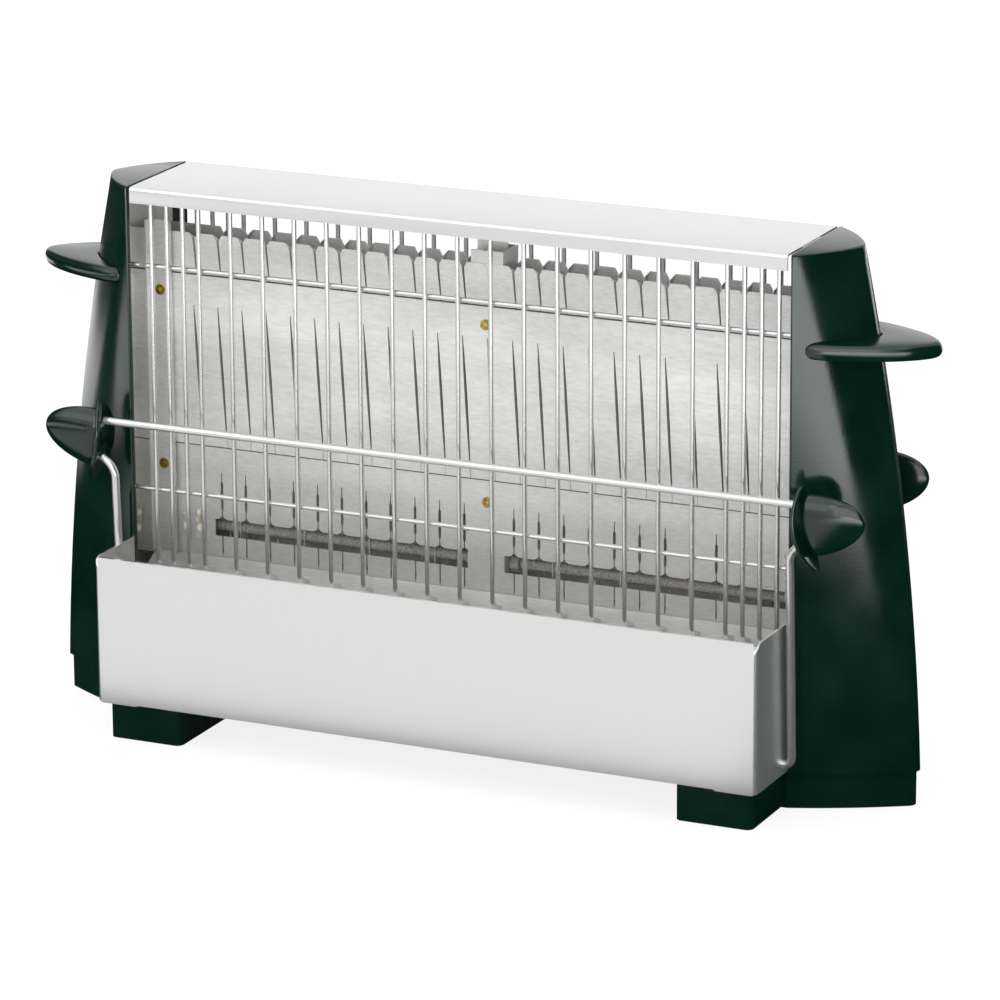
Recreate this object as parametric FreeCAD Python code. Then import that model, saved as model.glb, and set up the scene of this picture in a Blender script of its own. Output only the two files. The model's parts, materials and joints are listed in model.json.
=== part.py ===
import FreeCAD, Part
import math
import os

os.makedirs("parts", exist_ok=True)
Vec = FreeCAD.Vector

# Overall body: two end caps joined by a folded top cover
overall_height = 234.7
cap_spacing = 302.0
body_depth = 54.7
fit_gap = 0.3
hair_gap = 0.1
overrun = 5.0
bend_room_share = 0.8
flat_limit = 0.00001

# Bases: a plinth under each cap with a cross bar foot towards the middle
plinth_height = 15.0
plinth_inset = 1.5
foot_height = 16.9
foot_width = 34.0
foot_reach = 58.0
foot_corner = 3.0
foot_inset = 2.6

# End caps: hollow mouldings with a pointed arch plan that bows inwards with height
cap_reach = 48.3
cap_lean_share = 0.0374
cap_bow_radius = 1259.0
cap_side_radius_low = 250.0
cap_side_radius_top = 55.0
cap_nose_low = 5.0
cap_nose_top = 7.0
cap_wall = 2.6
cap_top_wall = 3.0
cap_edge_round = 0.8
cap_edge_shares = (0.5, 0.87, 0.99)
cap_steps = 6
cap_inner_steps = 4

# Carry handles: flat loops of moulding wrapped round the caps
handle_drop = 43.4
handle_thickness = 6.6
handle_span = 56.0
handle_half_depth = 26.6
handle_power_share = 1.6
handle_start = 5.6
handle_edge_round = 1.8
handle_edge_shares = (0.95, 0.6, 0.0)
handle_nose = 2.6
handle_nose_shares = (0.0, 0.5, 0.85)
handle_steps = 8
handle_outset = 1.0
handle_clearance = 0.12
tongue_inside = 14.0
tongue_half_depth = 12.0
tongue_thickness = 4.0
tongue_play = 0.2

# Top cover and what carries it
cover_sheet = 0.8
cover_end_gap = 1.3
cover_lip = 6.8
cover_bend = 1.2
rail_depth = 20.0
rail_thickness = 1.2
rail_into_cap = 7.0
rail_play = 0.1

# Grills: upright wires welded to two cross wires
wire_radius = 0.95
wire_sides = 6
small_sides = 10
wire_pitch = 15.07
wire_count_wide = 17
wire_count_close = 3
grill_shift = 2.0
grill_from_face = 2.9
weld_sink = 0.2
cross_upper_drop = 34.5
cross_lower_height = 101.9
wire_top_gap = 0.3
wire_bend_height = 70.2
wire_bend = 3.4
wire_tail_reach = 7.4
cross_into_cap = 1.2
stub_gap = 3.2

# Bread troughs: folded bright sheet
trough_sheet = 0.8
trough_length = 303.8
trough_depth = 34.25
trough_rim_height = 80.9
trough_corner = 1.6
trough_rim_corner = 5.0
trough_hem = 5.0
trough_tab_width = 17.0
trough_tab_drop = 0.6
trough_back_gap = 0.2

# Chutes behind the troughs
chute_sheet = 0.6
chute_end_gap = 0.4
chute_top_from_middle = 8.6
chute_top_height = 70.3
chute_knee_height = 61.7
chute_front_gap = 1.3
chute_foot = 6.0

# Reflector sheets
panel_sheet = 0.5
panel_from_middle = 8.0
panel_into_cap = 9.4
panel_pitch = 11.5
panel_first_slit = 130.0
comb_top_drop = 22.2
comb_depth = 26.5
comb_slit_top = 1.6
comb_slit_low = 0.5
comb_slit_slant = 1.6
comb_notch_depth = 3.0
comb_notch_half = 2.8
louvre_lap = 8.3
louvre_slit_drop = 13.3
louvre_low_height = 119.5
louvre_slit_top = 0.6
louvre_slit_low = 1.7
louvre_slant = 2.6
lower_lap = 5.5
lower_slit_share = 0.553
lower_slit_width = 1.6
lower_slit_top = 0.7
window_top_height = 87.0
window_low_height = 77.0
window_left_start = 122.0
window_left_end = 2.0
window_right_start = 15.0
window_right_end = 144.0
lower_low_height = 67.8

# Channels riveted to the reflectors, the centre post and the end brackets
channel_centre = 145.5
channel_width = 11.4
channel_depth = 3.4
channel_sheet = 0.6
channel_top_drop = 17.7
channel_round = 0.7
post_centre = 7.6
post_width = 14.8
post_top_drop = 16.7
bracket_sheet = 1.0
bracket_half_depth = 14.6
bracket_wing_reach = 6.0
bracket_wing_spread = 4.8
bracket_top_drop = 3.7
bracket_foot = 6.0

# Brass eyelets
eyelet_flange = 2.3
eyelet_body = 1.5
eyelet_bore = 0.8
eyelet_head = 0.7
eyelet_upper_lap = 0.6
eyelet_lower_drop = 9.9
eyelet_middle_offset = 7.3

# Heating elements
element_radius = 2.4
element_height = 82.0
element_left_start = 128.0
element_left_end = 4.4
element_right_start = 19.4
element_right_end = 144.0
support_width = 3.0
support_sheet = 0.6
support_count = 4
insulator_radius = 4.2
insulator_length = 4.0

# Braided sleeves on the heating leads, hanging in front of the lower reflector
sleeve_radius = 1.3
sleeve_gap = 0.2
sleeve_low_places = (-159.0, -134.6, -129.0, 144.2)
sleeve_high_places = (-157.6, -135.5, -129.5, 143.5)
sleeve_low_heights = (78.0, 78.0, 78.0, 84.4)
sleeve_high_heights = (89.1, 88.5, 90.6, 103.7)

# Holding bails: rod, two legs, two knobs, pivoting on the trough's end walls
bail_rod_radius = 1.7
bail_bore = 1.15
bail_rod_height = 134.0
bail_rod_forward = 9.4
pivot_height = 21.0
pivot_forward = 3.9
pivot_clearance = 0.05
leg_radius = 1.8
leg_offset = 3.3
leg_low_bend = 3.1
leg_top_bend = 9.0
leg_bend_steps = 3
leg_seat_drop = 8.0
leg_knee_drop = 3.6
leg_inside = 1.9
clip_radius = 3.0
clip_thickness = 1.0
clip_gap = 0.3
knob_centre_out = 8.7
knob_drop = 8.9
knob_half_height = 19.6
knob_half_depth = 9.5
knob_disc = 1.8
knob_disc_round = 0.6
knob_lean_degrees = 10.0
wing_length = 26.0
wing_half_height = 12.2
wing_half_depth = 4.7
wing_shares = (0.0, 0.4, 0.7, 0.9, 0.98)
knob_sides = 16
knob_pin_radius = 1.1
knob_pin_depth = 5.0

# Fasteners
screw_head = 3.2
screw_head_height = 1.8
screw_shank = 1.5
screw_length = 9.0
screw_socket = 1.0
screw_play = 0.05

# Derived places
cap_inner = cap_spacing / 2
half_depth = body_depth / 2
cap_low = plinth_height
cap_rise = overall_height - cap_low
grill_y = half_depth - grill_from_face
trough_front = half_depth + trough_depth
trough_floor = foot_height
trough_end = trough_length / 2
plate_half = cap_inner - chute_end_gap
pivot_y = half_depth + pivot_forward
bail_rod_y = half_depth + bail_rod_forward
bail_lean = math.atan((bail_rod_y - pivot_y) / (bail_rod_height - pivot_height))
leg_x = trough_end + leg_offset
cover_low = overall_height - cover_sheet
foot_out = cap_inner - foot_inset
handle_low = overall_height - handle_drop
cross_upper_height = overall_height - cross_upper_drop
comb_top_height = overall_height - comb_top_drop
comb_low_height = comb_top_height - comb_depth
louvre_top_height = comb_low_height + louvre_lap
louvre_slit_height = louvre_top_height - louvre_slit_drop
lower_top_height = louvre_low_height + lower_lap
lower_slit_height = window_top_height + lower_slit_share * (lower_top_height - window_top_height)
channel_top_height = overall_height - channel_top_drop
post_top_height = overall_height - post_top_drop
bracket_top_height = overall_height - bracket_top_drop
eyelet_upper_height = comb_low_height + eyelet_upper_lap
eyelet_lower_height = louvre_low_height - eyelet_lower_drop
knob_centre_height = bail_rod_height - knob_drop
knob_lean = math.radians(knob_lean_degrees)
chute_y = half_depth - chute_front_gap
chute_slope = (chute_top_height - chute_knee_height) / (chute_y - chute_top_from_middle)
tail_end_y = grill_y - wire_tail_reach
chute_under_tail = chute_top_height - chute_slope * (tail_end_y - chute_top_from_middle)
tail_end_height = chute_under_tail + wire_radius + hair_gap


def box(x0, x1, y0, y1, z0, z1):
    """A box between two opposite corners."""
    return Part.makeBox(x1 - x0, y1 - y0, z1 - z0, Vec(x0, y0, z0))


def rod(start, end, radius):
    """A cylinder from one point to another."""
    line = end - start
    return Part.makeCylinder(radius, line.Length, start, line)


def ring(centre, along, radius, sides):
    """Corners of a flat sided ring round a line, one flat square to each level direction."""
    along = Vec(along)
    along.normalize()
    level = Vec(0, 1, 0) if abs(along.y) < abs(along.z) + abs(along.x) else Vec(1, 0, 0)
    level = level - along * level.dot(along)
    level.normalize()
    other = along.cross(level)
    corners = []
    for number in range(sides):
        angle = 2 * math.pi * (number + 1 / 2) / sides
        corners.append(centre + level * (radius * math.cos(angle)) + other * (radius * math.sin(angle)))
    return corners


def closed(points):
    """A closed outline through the points."""
    return Part.makePolygon(points + [points[0]])


def bar(start, end, radius, sides):
    """A small bar with flat sides from one point to another."""
    return Part.Face(closed(ring(start, end - start, radius, sides))).extrude(end - start)


def prism(points, step):
    """A flat outline pushed along a vector."""
    return Part.Face(closed(points)).extrude(step)


def patch(a, b, c, d):
    """One flat four sided face, or two triangles where the corners are not level."""
    normal = (b - a).cross(c - a)
    normal.normalize()
    if abs(normal.dot(d - a)) < flat_limit:
        return [Part.Face(closed([a, b, c, d]))]
    return [Part.Face(closed([a, b, c])), Part.Face(closed([a, c, d]))]


def skin(rings):
    """A closed solid through rings that have as many corners each, its ends flat."""
    faces = [Part.Face(closed(rings[0])), Part.Face(closed(rings[-1]))]
    for low, high in zip(rings, rings[1:]):
        for number in range(len(low)):
            after = (number + 1) % len(low)
            faces += patch(low[number], low[after], high[after], high[number])
    shell = Part.makeShell(faces)
    shell.sewShape()
    solid = Part.Solid(shell)
    if solid.Volume < 0:
        solid.reverse()
    return solid


def bend_path(points, bends, steps):
    """Straight runs joined by arcs, each arc as a few short runs."""
    path = [points[0]]
    for number in range(1, len(points) - 1):
        before = points[number - 1] - points[number]
        after = points[number + 1] - points[number]
        room = bend_room_share * min(before.Length, after.Length)
        before.normalize()
        after.normalize()
        half = before.getAngle(after) / 2
        bend = min(bends[number - 1], room * math.tan(half))
        bisector = before + after
        bisector.normalize()
        centre = points[number] + bisector * (bend / math.sin(half))
        enter = points[number] + before * (bend / math.tan(half)) - centre
        axis = after.cross(before)
        turn = math.pi - 2 * half
        for step in range(steps + 1):
            spoke = FreeCAD.Rotation(axis, math.degrees(turn * step / steps)).multVec(enter)
            path.append(centre + spoke)
    return path + [points[-1]]


def tube(path, radius, sides):
    """A bar with flat sides along a path, mitred at each corner."""
    first, second = path[:2]
    rings = [ring(first, second - first, radius, sides)]
    for number in range(1, len(path)):
        along = path[number] - path[number - 1]
        along.normalize()
        normal = Vec(along)
        if number < len(path) - 1:
            onward = path[number + 1] - path[number]
            onward.normalize()
            normal = along + onward
        rings.append([corner + along * ((path[number] - corner).dot(normal) / along.dot(normal))
                      for corner in rings[-1]])
    return skin(rings)


def joined(solids):
    """Several solids of one piece made one."""
    first = solids[0]
    if len(solids) > 1:
        first = first.fuse(solids[1:])
    return first.removeSplitter()


def mirrored_x(shape):
    """The same piece on the other end."""
    return shape.mirror(Vec(0, 0, 0), Vec(1, 0, 0))


def turned_back(shape):
    """The front piece turned half round the upright middle line to the back."""
    turned = shape.copy()
    turned.rotate(Vec(0, 0, 0), Vec(0, 0, 1), 180)
    return turned


def save(name, shape):
    """One file for each sub-part."""
    shape.exportStep("parts/" + name + ".step")
    print(name, "volume", round(shape.Volume, 1), "valid", shape.isValid(), "solids", len(shape.Solids))


def bulge_at(height):
    """How far the cap reaches beyond its inner face at a height."""
    rise = height - cap_low
    return cap_reach - cap_lean_share * rise - rise * rise / (2 * cap_bow_radius)


def cap_ring(height, inset, side_steps, nose_steps):
    """The pointed arch plan of a cap at a height: two bowed sides and a rounded nose."""
    share = (height - cap_low) / cap_rise
    bend = (1 - share) / cap_side_radius_low + share / cap_side_radius_top
    side_radius = 1 / bend - inset
    nose = cap_nose_low + (cap_nose_top - cap_nose_low) * share - inset
    depth = half_depth - inset
    tip = bulge_at(height) - inset
    corner = Vec(0, -depth, 0)
    nose_centre = Vec(tip - nose, 0, 0)
    reach = side_radius - nose
    across = nose_centre - corner
    span = across.Length
    along = (side_radius ** 2 - reach ** 2 + span ** 2) / (2 * span)
    off = math.sqrt(side_radius ** 2 - along ** 2)
    unit = across * (1 / span)
    side_centre = corner + unit * along + Vec(-unit.y, unit.x, 0) * off
    start = math.atan2(corner.y - side_centre.y, corner.x - side_centre.x)
    end = math.atan2(nose_centre.y - side_centre.y, nose_centre.x - side_centre.x)
    points = [Vec(-overrun, -depth, 0)]
    for step in range(side_steps):
        angle = start + (end - start) * step / side_steps
        points.append(side_centre + Vec(math.cos(angle), math.sin(angle), 0) * side_radius)
    for step in range(nose_steps // 2 + 1):
        angle = end * (1 - 2 * step / nose_steps)
        points.append(nose_centre + Vec(math.cos(angle), math.sin(angle), 0) * nose)
    points += [Vec(point.x, -point.y, 0) for point in reversed(points[:-1])]
    place = Vec(cap_inner, 0, height)
    return [point + place for point in points]


def cap_body(low, high, inset, steps):
    """The solid inside the cap's skin between two heights, with no inner face yet."""
    heights = [low + (high - low) * number / steps for number in range(steps + 1)]
    return skin([cap_ring(height, inset, steps, steps) for height in heights])


def cap_skin():
    """The cap's outer form with its rounded top edge."""
    top = overall_height - cap_edge_round
    steps = cap_steps
    heights = [cap_low + (top - cap_low) * number / steps for number in range(steps + 1)]
    rings = [cap_ring(height, 0, steps, steps) for height in heights]
    for share in cap_edge_shares:
        inset = cap_edge_round * (1 - math.sqrt(1 - share * share))
        rings.append(cap_ring(top + cap_edge_round * share, inset, steps, steps))
    return skin(rings)


def inner_side():
    """Everything nearer the middle than the caps' inner faces."""
    side = half_depth + overrun
    return box(0, cap_inner, -side, side, -overrun, overall_height + overrun)


def tongue(play):
    """The handle's tongue, which goes through a slot in the cap wall."""
    middle = handle_low + handle_thickness / 2
    out = cap_inner + bulge_at(middle)
    half = tongue_thickness / 2 + play
    return box(out - tongue_inside, out + overrun, -tongue_half_depth - play, tongue_half_depth + play,
               middle - half, middle + half)


def make_end_cap():
    """The right cap: skin, top wall, the slot for the handle and the pocket for the cover rail."""
    inner = cap_body(cap_low - overrun, overall_height - cap_top_wall, cap_wall, cap_inner_steps)
    pocket = box(cap_inner - overrun, cap_inner + rail_into_cap + rail_play,
                 -rail_depth / 2 - rail_play, rail_depth / 2 + rail_play,
                 cover_low - rail_thickness - rail_play, cover_low + rail_play)
    return cap_skin().cut([inner, inner_side(), pocket, tongue(tongue_play)])


def make_base():
    """The right base: plinth under the cap and the cross bar foot, one moulding."""
    drop = Vec(0, 0, cap_low)
    outline = [point - drop for point in cap_ring(cap_low, plinth_inset, cap_steps, cap_steps)]
    plinth = prism(outline, Vec(0, 0, plinth_height))
    foot = box(foot_out - foot_width, foot_out, -foot_reach, foot_reach, 0, foot_height)
    corners = [e for e in foot.Edges if abs(e.BoundBox.ZLength - foot_height) < hair_gap]
    foot = foot.makeFillet(foot_corner, corners)
    holes = [trough_screw_bore(side) for side in (-1, 1)]
    return plinth.fuse(foot).removeSplitter().cut(holes)


def handle_ring(height, inset):
    """Plan of the handle at a height: a rounded nose, then the long curve to the outer edge and back."""
    span = handle_span - inset
    depth = handle_half_depth - inset
    start = handle_start + handle_outset + inset
    points = []
    for number in range(handle_steps + 1):
        share = start / span + (1 - start / span) * math.sin(math.pi / 2 * number / handle_steps)
        side = depth * max(0.0, 1 - share ** handle_power_share) ** (1 / handle_power_share)
        points.append(Vec(cap_inner - handle_outset + span * share, -side, height))
    first = points[0]
    blunt = [first + Vec(0, handle_nose * (1 - share), 0) - Vec(handle_nose * share * (1 - share), 0, 0)
             for share in handle_nose_shares]
    front = blunt + points[1:]
    return front + [Vec(point.x, -point.y, height) for point in reversed(front[:-1])]


def make_carry_handle():
    """The right carry handle: a flat crescent, hollowed to the cap's skin, with its tongue."""
    rings = []
    for share in handle_edge_shares:
        inset = handle_edge_round * (1 - math.sqrt(1 - share * share))
        rings.append((handle_low + handle_edge_round * (1 - share), inset))
    rings += [(2 * handle_low + handle_thickness - height, inset) for height, inset in reversed(rings)]
    plate = skin([handle_ring(height, inset) for height, inset in rings])
    crescent = plate.cut(cap_body(cap_low, overall_height, -handle_clearance, cap_steps))
    largest = sorted(crescent.Solids, key=lambda solid: -solid.Volume)[0]
    return joined([largest, tongue(0)]).cut(handle_screw_bore())


def handle_screw_place():
    """The upright screw through the tongue inside the cap."""
    middle = handle_low + handle_thickness / 2
    return cap_inner + bulge_at(middle) - tongue_inside / 2 - cap_wall, middle


def handle_screw_bore():
    """The hole in the tongue for its screw."""
    x, middle = handle_screw_place()
    return bar(Vec(x, 0, middle - overrun), Vec(x, 0, middle + overrun), screw_shank + screw_play, wire_sides)


def make_handle_screw():
    """A pan screw down through the tongue."""
    x, middle = handle_screw_place()
    seat = middle + tongue_thickness / 2
    head = bar(Vec(x, 0, seat), Vec(x, 0, seat + screw_head_height), screw_head, small_sides)
    shank = bar(Vec(x, 0, seat - screw_length), Vec(x, 0, seat), screw_shank, wire_sides)
    return joined([head, shank])


def make_top_cover():
    """Folded sheet: flat top with a lip turned down along the front and the back."""
    x = cap_inner - cover_end_gap
    outer = box(-x, x, -half_depth, half_depth, overall_height - cover_lip, overall_height)
    ridge = [e for e in outer.Edges if e.BoundBox.XLength > x and e.BoundBox.ZMin > overall_height - hair_gap]
    outer = outer.makeFillet(cover_bend, ridge)
    inner = box(-x - overrun, x + overrun, -half_depth + cover_sheet, half_depth - cover_sheet,
                overall_height - cover_lip - overrun, cover_low)
    return outer.cut(inner)


def make_cover_rail():
    """Strip under the cover, its ends in the caps' pockets."""
    x = cap_inner + rail_into_cap
    return box(-x, x, -rail_depth / 2, rail_depth / 2, cover_low - rail_thickness, cover_low)


def make_cover_bracket():
    """Angle from the centre post up to the rail."""
    top = cover_low - rail_thickness
    x0 = post_centre - post_width / 2
    x1 = post_centre + post_width / 2 - bracket_sheet
    web = box(x0, x1, -bracket_sheet, 0, post_top_height - post_width, top)
    flange = box(x0, x1, -bracket_sheet, rail_depth / 2, top - bracket_sheet, top)
    return joined([web, flange])


def wire_places():
    """Places of the upright wires along the grill: wide spaced, and close spaced at both ends."""
    wide = wire_count_wide // 2
    places = [grill_shift + (number - wide) * wire_pitch for number in range(wire_count_wide)]
    edge = wide * wire_pitch
    for number in range(wire_count_close):
        reach = edge + (number + 1) * wire_pitch / 2
        places += [grill_shift - reach, grill_shift + reach]
    return sorted(places)


def cross_wire_y():
    """Where the cross wires lie, sunk into the uprights by the weld."""
    flat = wire_radius * math.cos(math.pi / wire_sides)
    return -grill_y + 2 * flat - weld_sink


def make_grill():
    """The front grill: uprights with tails turned back at the foot, and cross wires welded behind."""
    solids = []
    for x in wire_places():
        points = [Vec(x, -grill_y, cover_low - wire_top_gap), Vec(x, -grill_y, wire_bend_height),
                  Vec(x, -tail_end_y, tail_end_height)]
        solids.append(tube(bend_path(points, [wire_bend], 1), wire_radius, wire_sides))
    x_end = cap_inner + cross_into_cap
    cross_y = cross_wire_y()
    starts = (wire_places()[0] - stub_gap, -x_end)
    for height, start in zip((cross_upper_height, cross_lower_height), starts):
        solids.append(bar(Vec(start, cross_y, height), Vec(x_end, cross_y, height), wire_radius, wire_sides))
    return solids[0].fuse(solids[1:])


def make_grill_stub():
    """The short end of the upper cross wire that stands out of the left cap."""
    cross_y = cross_wire_y()
    x_end = cap_inner + cross_into_cap
    return bar(Vec(-x_end, cross_y, cross_upper_height),
               Vec(-cap_inner + stub_gap, cross_y, cross_upper_height), wire_radius, wire_sides)


def pivot_hole(side):
    """The hole for the bail's pivot in a trough end wall."""
    return rod(Vec(side * (trough_end - overrun), -pivot_y, pivot_height),
               Vec(side * (trough_end + overrun), -pivot_y, pivot_height), leg_radius + pivot_clearance)


def trough_screw_place(side):
    """Where a trough is screwed to a foot."""
    return Vec(foot_out - foot_width / 2, side * (trough_front + half_depth) / 2, trough_floor)


def trough_screw_bore(side):
    """The hole for a trough's screw in the foot and the floor."""
    place = trough_screw_place(side)
    return bar(place - Vec(0, 0, screw_length), place + Vec(0, 0, overrun), screw_shank + screw_play,
               wire_sides)


def make_trough():
    """The front trough: floor, front wall with a folded hem, end walls with pivot holes."""
    back = half_depth + trough_back_gap
    wall = trough_sheet
    end = trough_end - wall
    outer = box(-trough_end, trough_end, -trough_front, -back, trough_floor, trough_rim_height)
    upright = [e for e in outer.Edges if e.BoundBox.ZLength > trough_sheet and e.BoundBox.YMax < -back - wall]
    outer = outer.makeFillet(trough_corner, upright)
    inner = box(-end, end, -trough_front + wall, -back + overrun, trough_floor + wall,
                trough_rim_height + overrun)
    hem = box(-end + fit_gap, end - fit_gap, -trough_front + wall + hair_gap, -trough_front + 2 * wall,
              trough_rim_height - trough_hem, trough_rim_height)
    fold = box(-end + fit_gap, end - fit_gap, -trough_front + wall / 2, -trough_front + 2 * wall,
               trough_rim_height - wall, trough_rim_height)
    tabs = []
    for side in (-1, 1):
        x = side * (trough_end - trough_corner - trough_tab_width / 2)
        tabs.append(box(x - trough_tab_width / 2, x + trough_tab_width / 2, -trough_front,
                        -trough_front + wall, trough_floor - trough_tab_drop, trough_floor))
    body = outer.cut(inner).fuse([hem, fold] + tabs).removeSplitter()
    screw = trough_screw_bore(-1)
    corner = rim_corner()
    return body.cut([pivot_hole(-1), pivot_hole(1), screw, mirrored_x(screw), corner, mirrored_x(corner)])


def rim_corner():
    """What the rounded top front corner of the right end wall leaves away."""
    x = trough_end - trough_corner
    y = -trough_front + trough_rim_corner
    z = trough_rim_height - trough_rim_corner
    block = box(x, trough_end + overrun, -trough_front - overrun, y, z, trough_rim_height + overrun)
    return block.cut(rod(Vec(x - overrun, y, z), Vec(trough_end + 2 * overrun, y, z), trough_rim_corner))


def make_chute():
    """Sheet behind the trough: foot on the bottom plate, upright, knee and slope up to the reflector."""
    y_front = chute_y
    wall = chute_sheet
    floor = trough_floor + trough_sheet
    outer = [Vec(-plate_half, -y_front, floor), Vec(-plate_half, -y_front, chute_knee_height),
             Vec(-plate_half, -chute_top_from_middle, chute_top_height),
             Vec(-plate_half, -chute_top_from_middle, chute_top_height - wall),
             Vec(-plate_half, -y_front + wall, chute_knee_height - wall),
             Vec(-plate_half, -y_front + wall, floor + wall),
             Vec(-plate_half, -y_front + chute_foot, floor + wall),
             Vec(-plate_half, -y_front + chute_foot, floor)]
    return prism(outer, Vec(2 * plate_half, 0, 0))


def slit(x, z_high, z_low, wide_high, wide_low, slant, y):
    """A tapered slanting slit through the front reflector sheets."""
    foot = x + slant
    return prism([Vec(x - wide_high / 2, y, z_high), Vec(x + wide_high / 2, y, z_high),
                  Vec(foot + wide_low / 2, y, z_low), Vec(foot - wide_low / 2, y, z_low)],
                 Vec(0, 4 * panel_sheet, 0))


def slit_places():
    """Places of the slits along the reflectors."""
    count = int(2 * panel_first_slit / panel_pitch) + 1
    return [-panel_first_slit + number * panel_pitch for number in range(count)]


def eyelet_places():
    """The four brass eyelets on the front, as x and height."""
    return [(-channel_centre, eyelet_upper_height), (eyelet_middle_offset, eyelet_upper_height),
            (-channel_centre, eyelet_lower_height), (eyelet_middle_offset, eyelet_lower_height)]


def eyelet_bores():
    """Holes for the eyelets through channel, reflectors and posts."""
    far = panel_from_middle + overrun
    radius = eyelet_body + screw_play
    return [bar(Vec(x, -far, z), Vec(x, 0, z), radius, wire_sides) for x, z in eyelet_places()]


def panel_end():
    """How far the reflectors run into the hollow caps."""
    return cap_inner + panel_into_cap


def make_comb_sheet():
    """Upper reflector: a comb with chamfered teeth."""
    y = -panel_from_middle
    sheet = box(-panel_end(), panel_end(), y, y + panel_sheet, comb_low_height, comb_top_height)
    cuts = []
    for x in slit_places():
        cuts.append(slit(x, comb_top_height + hair_gap, louvre_top_height, comb_slit_top, comb_slit_low,
                         comb_slit_slant, y - panel_sheet))
        cuts.append(prism([Vec(x - comb_notch_half, y - panel_sheet, comb_top_height + hair_gap),
                           Vec(x + comb_notch_half, y - panel_sheet, comb_top_height + hair_gap),
                           Vec(x + comb_slit_top / 2, y - panel_sheet, comb_top_height - comb_notch_depth),
                           Vec(x - comb_slit_top / 2, y - panel_sheet, comb_top_height - comb_notch_depth)],
                          Vec(0, 4 * panel_sheet, 0)))
    return sheet.cut(cuts + eyelet_bores())


def make_louvre_sheet():
    """Middle reflector: long tapered slits open at the lower edge."""
    y = -panel_from_middle - panel_sheet
    sheet = box(-panel_end(), panel_end(), y, y + panel_sheet, louvre_low_height, louvre_top_height)
    cuts = [slit(x, louvre_slit_height, louvre_low_height - hair_gap, louvre_slit_top, louvre_slit_low,
                 louvre_slant, y - panel_sheet) for x in slit_places()]
    return sheet.cut(cuts + eyelet_bores())


def make_lower_sheet():
    """Lower reflector: short slits that run down into the element windows."""
    y = -panel_from_middle
    sheet = box(-panel_end(), panel_end(), y, y + panel_sheet, lower_low_height, lower_top_height)
    cuts = [box(-window_left_start, -window_left_end, y - panel_sheet, y + 2 * panel_sheet,
                window_low_height, window_top_height),
            box(window_right_start, window_right_end, y - panel_sheet, y + 2 * panel_sheet,
                window_low_height, window_top_height)]
    for x in slit_places():
        inside = -window_left_start < x < -window_left_end or window_right_start < x < window_right_end
        if inside:
            cuts.append(slit(x, lower_slit_height, window_top_height - hair_gap, lower_slit_top,
                             lower_slit_width, 0, y - panel_sheet))
    return sheet.cut(cuts + eyelet_bores())


def make_channel():
    """Upright channel in front of the reflector's end, its edges turned forwards."""
    y = -panel_from_middle - panel_sheet
    x = -channel_centre
    outer = box(x - channel_width / 2, x + channel_width / 2, y - channel_depth, y,
                chute_top_height + hair_gap, channel_top_height)
    back = [e for e in outer.Edges if e.BoundBox.ZLength > channel_width and e.BoundBox.YMin > y - hair_gap]
    outer = outer.makeChamfer(channel_round, back)
    half = channel_width / 2 - channel_sheet
    inner = box(x - half, x + half, y - channel_depth - overrun, y - channel_sheet, -overrun, overall_height)
    return outer.cut([inner] + eyelet_bores())


def make_centre_post():
    """Upright U post between the two reflectors."""
    y = panel_from_middle - panel_sheet
    x0 = post_centre - post_width / 2
    x1 = post_centre + post_width / 2
    floor = trough_floor + trough_sheet
    outer = box(x0, x1, -y, y, floor, post_top_height)
    inner = box(x0 - overrun, x1 - bracket_sheet, -y + bracket_sheet, y - bracket_sheet, floor - overrun,
                post_top_height + overrun)
    bores = eyelet_bores()
    return outer.cut([inner] + bores + [turned_back(b) for b in bores])


def make_eyelets():
    """The front brass eyelets: a flange in front, a tube through the sheets."""
    solids = []
    face = panel_from_middle + panel_sheet + channel_sheet
    for x, z in eyelet_places():
        y = -face if x < 0 else -panel_from_middle - panel_sheet
        if z < louvre_low_height and x > 0:
            y = -panel_from_middle
        flange = bar(Vec(x, y - eyelet_head, z), Vec(x, y, z), eyelet_flange, small_sides)
        back = -panel_from_middle + panel_sheet + bracket_sheet
        sleeve = bar(Vec(x, y, z), Vec(x, back, z), eyelet_body, wire_sides)
        hole = bar(Vec(x, y - overrun, z), Vec(x, overrun, z), eyelet_bore, wire_sides)
        solids.append(joined([flange, sleeve]).cut(hole))
    return solids


def make_end_bracket():
    """The right end bracket inside the cap: a web the reflectors butt against, with splayed wings."""
    x = panel_end()
    far = x + bracket_sheet
    half = bracket_half_depth
    tip = half + bracket_wing_spread
    front = [Vec(x, -half + bracket_sheet / 2, plinth_height),
             Vec(x - bracket_wing_reach, -tip, plinth_height),
             Vec(far - bracket_wing_reach, -tip - bracket_sheet / 2, plinth_height),
             Vec(far, -half, plinth_height)]
    back = [Vec(point.x, -point.y, point.z) for point in reversed(front)]
    web = prism(front + back, Vec(0, 0, bracket_top_height - plinth_height))
    foot = box(x - bracket_foot, x, -half + bracket_foot, half - bracket_foot, plinth_height,
               plinth_height + bracket_sheet)
    return joined([web, foot])


def make_sleeves():
    """The braided sleeves on the front leads, each beside the lower reflector's face."""
    y = -panel_from_middle - sleeve_radius - sleeve_gap
    solids = []
    for low_x, high_x, low_z, high_z in zip(sleeve_low_places, sleeve_high_places, sleeve_low_heights,
                                            sleeve_high_heights):
        solids.append(bar(Vec(low_x, y, low_z), Vec(high_x, y, high_z), sleeve_radius, small_sides))
    return solids


def make_bottom_plate():
    """Plate between the troughs, lying on both feet."""
    return box(-plate_half, plate_half, -half_depth, half_depth, trough_floor, trough_floor + trough_sheet)


def make_element(x0, x1):
    """A ceramic rod along the middle."""
    return bar(Vec(x0, 0, element_height), Vec(x1, 0, element_height), element_radius, small_sides)


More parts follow.
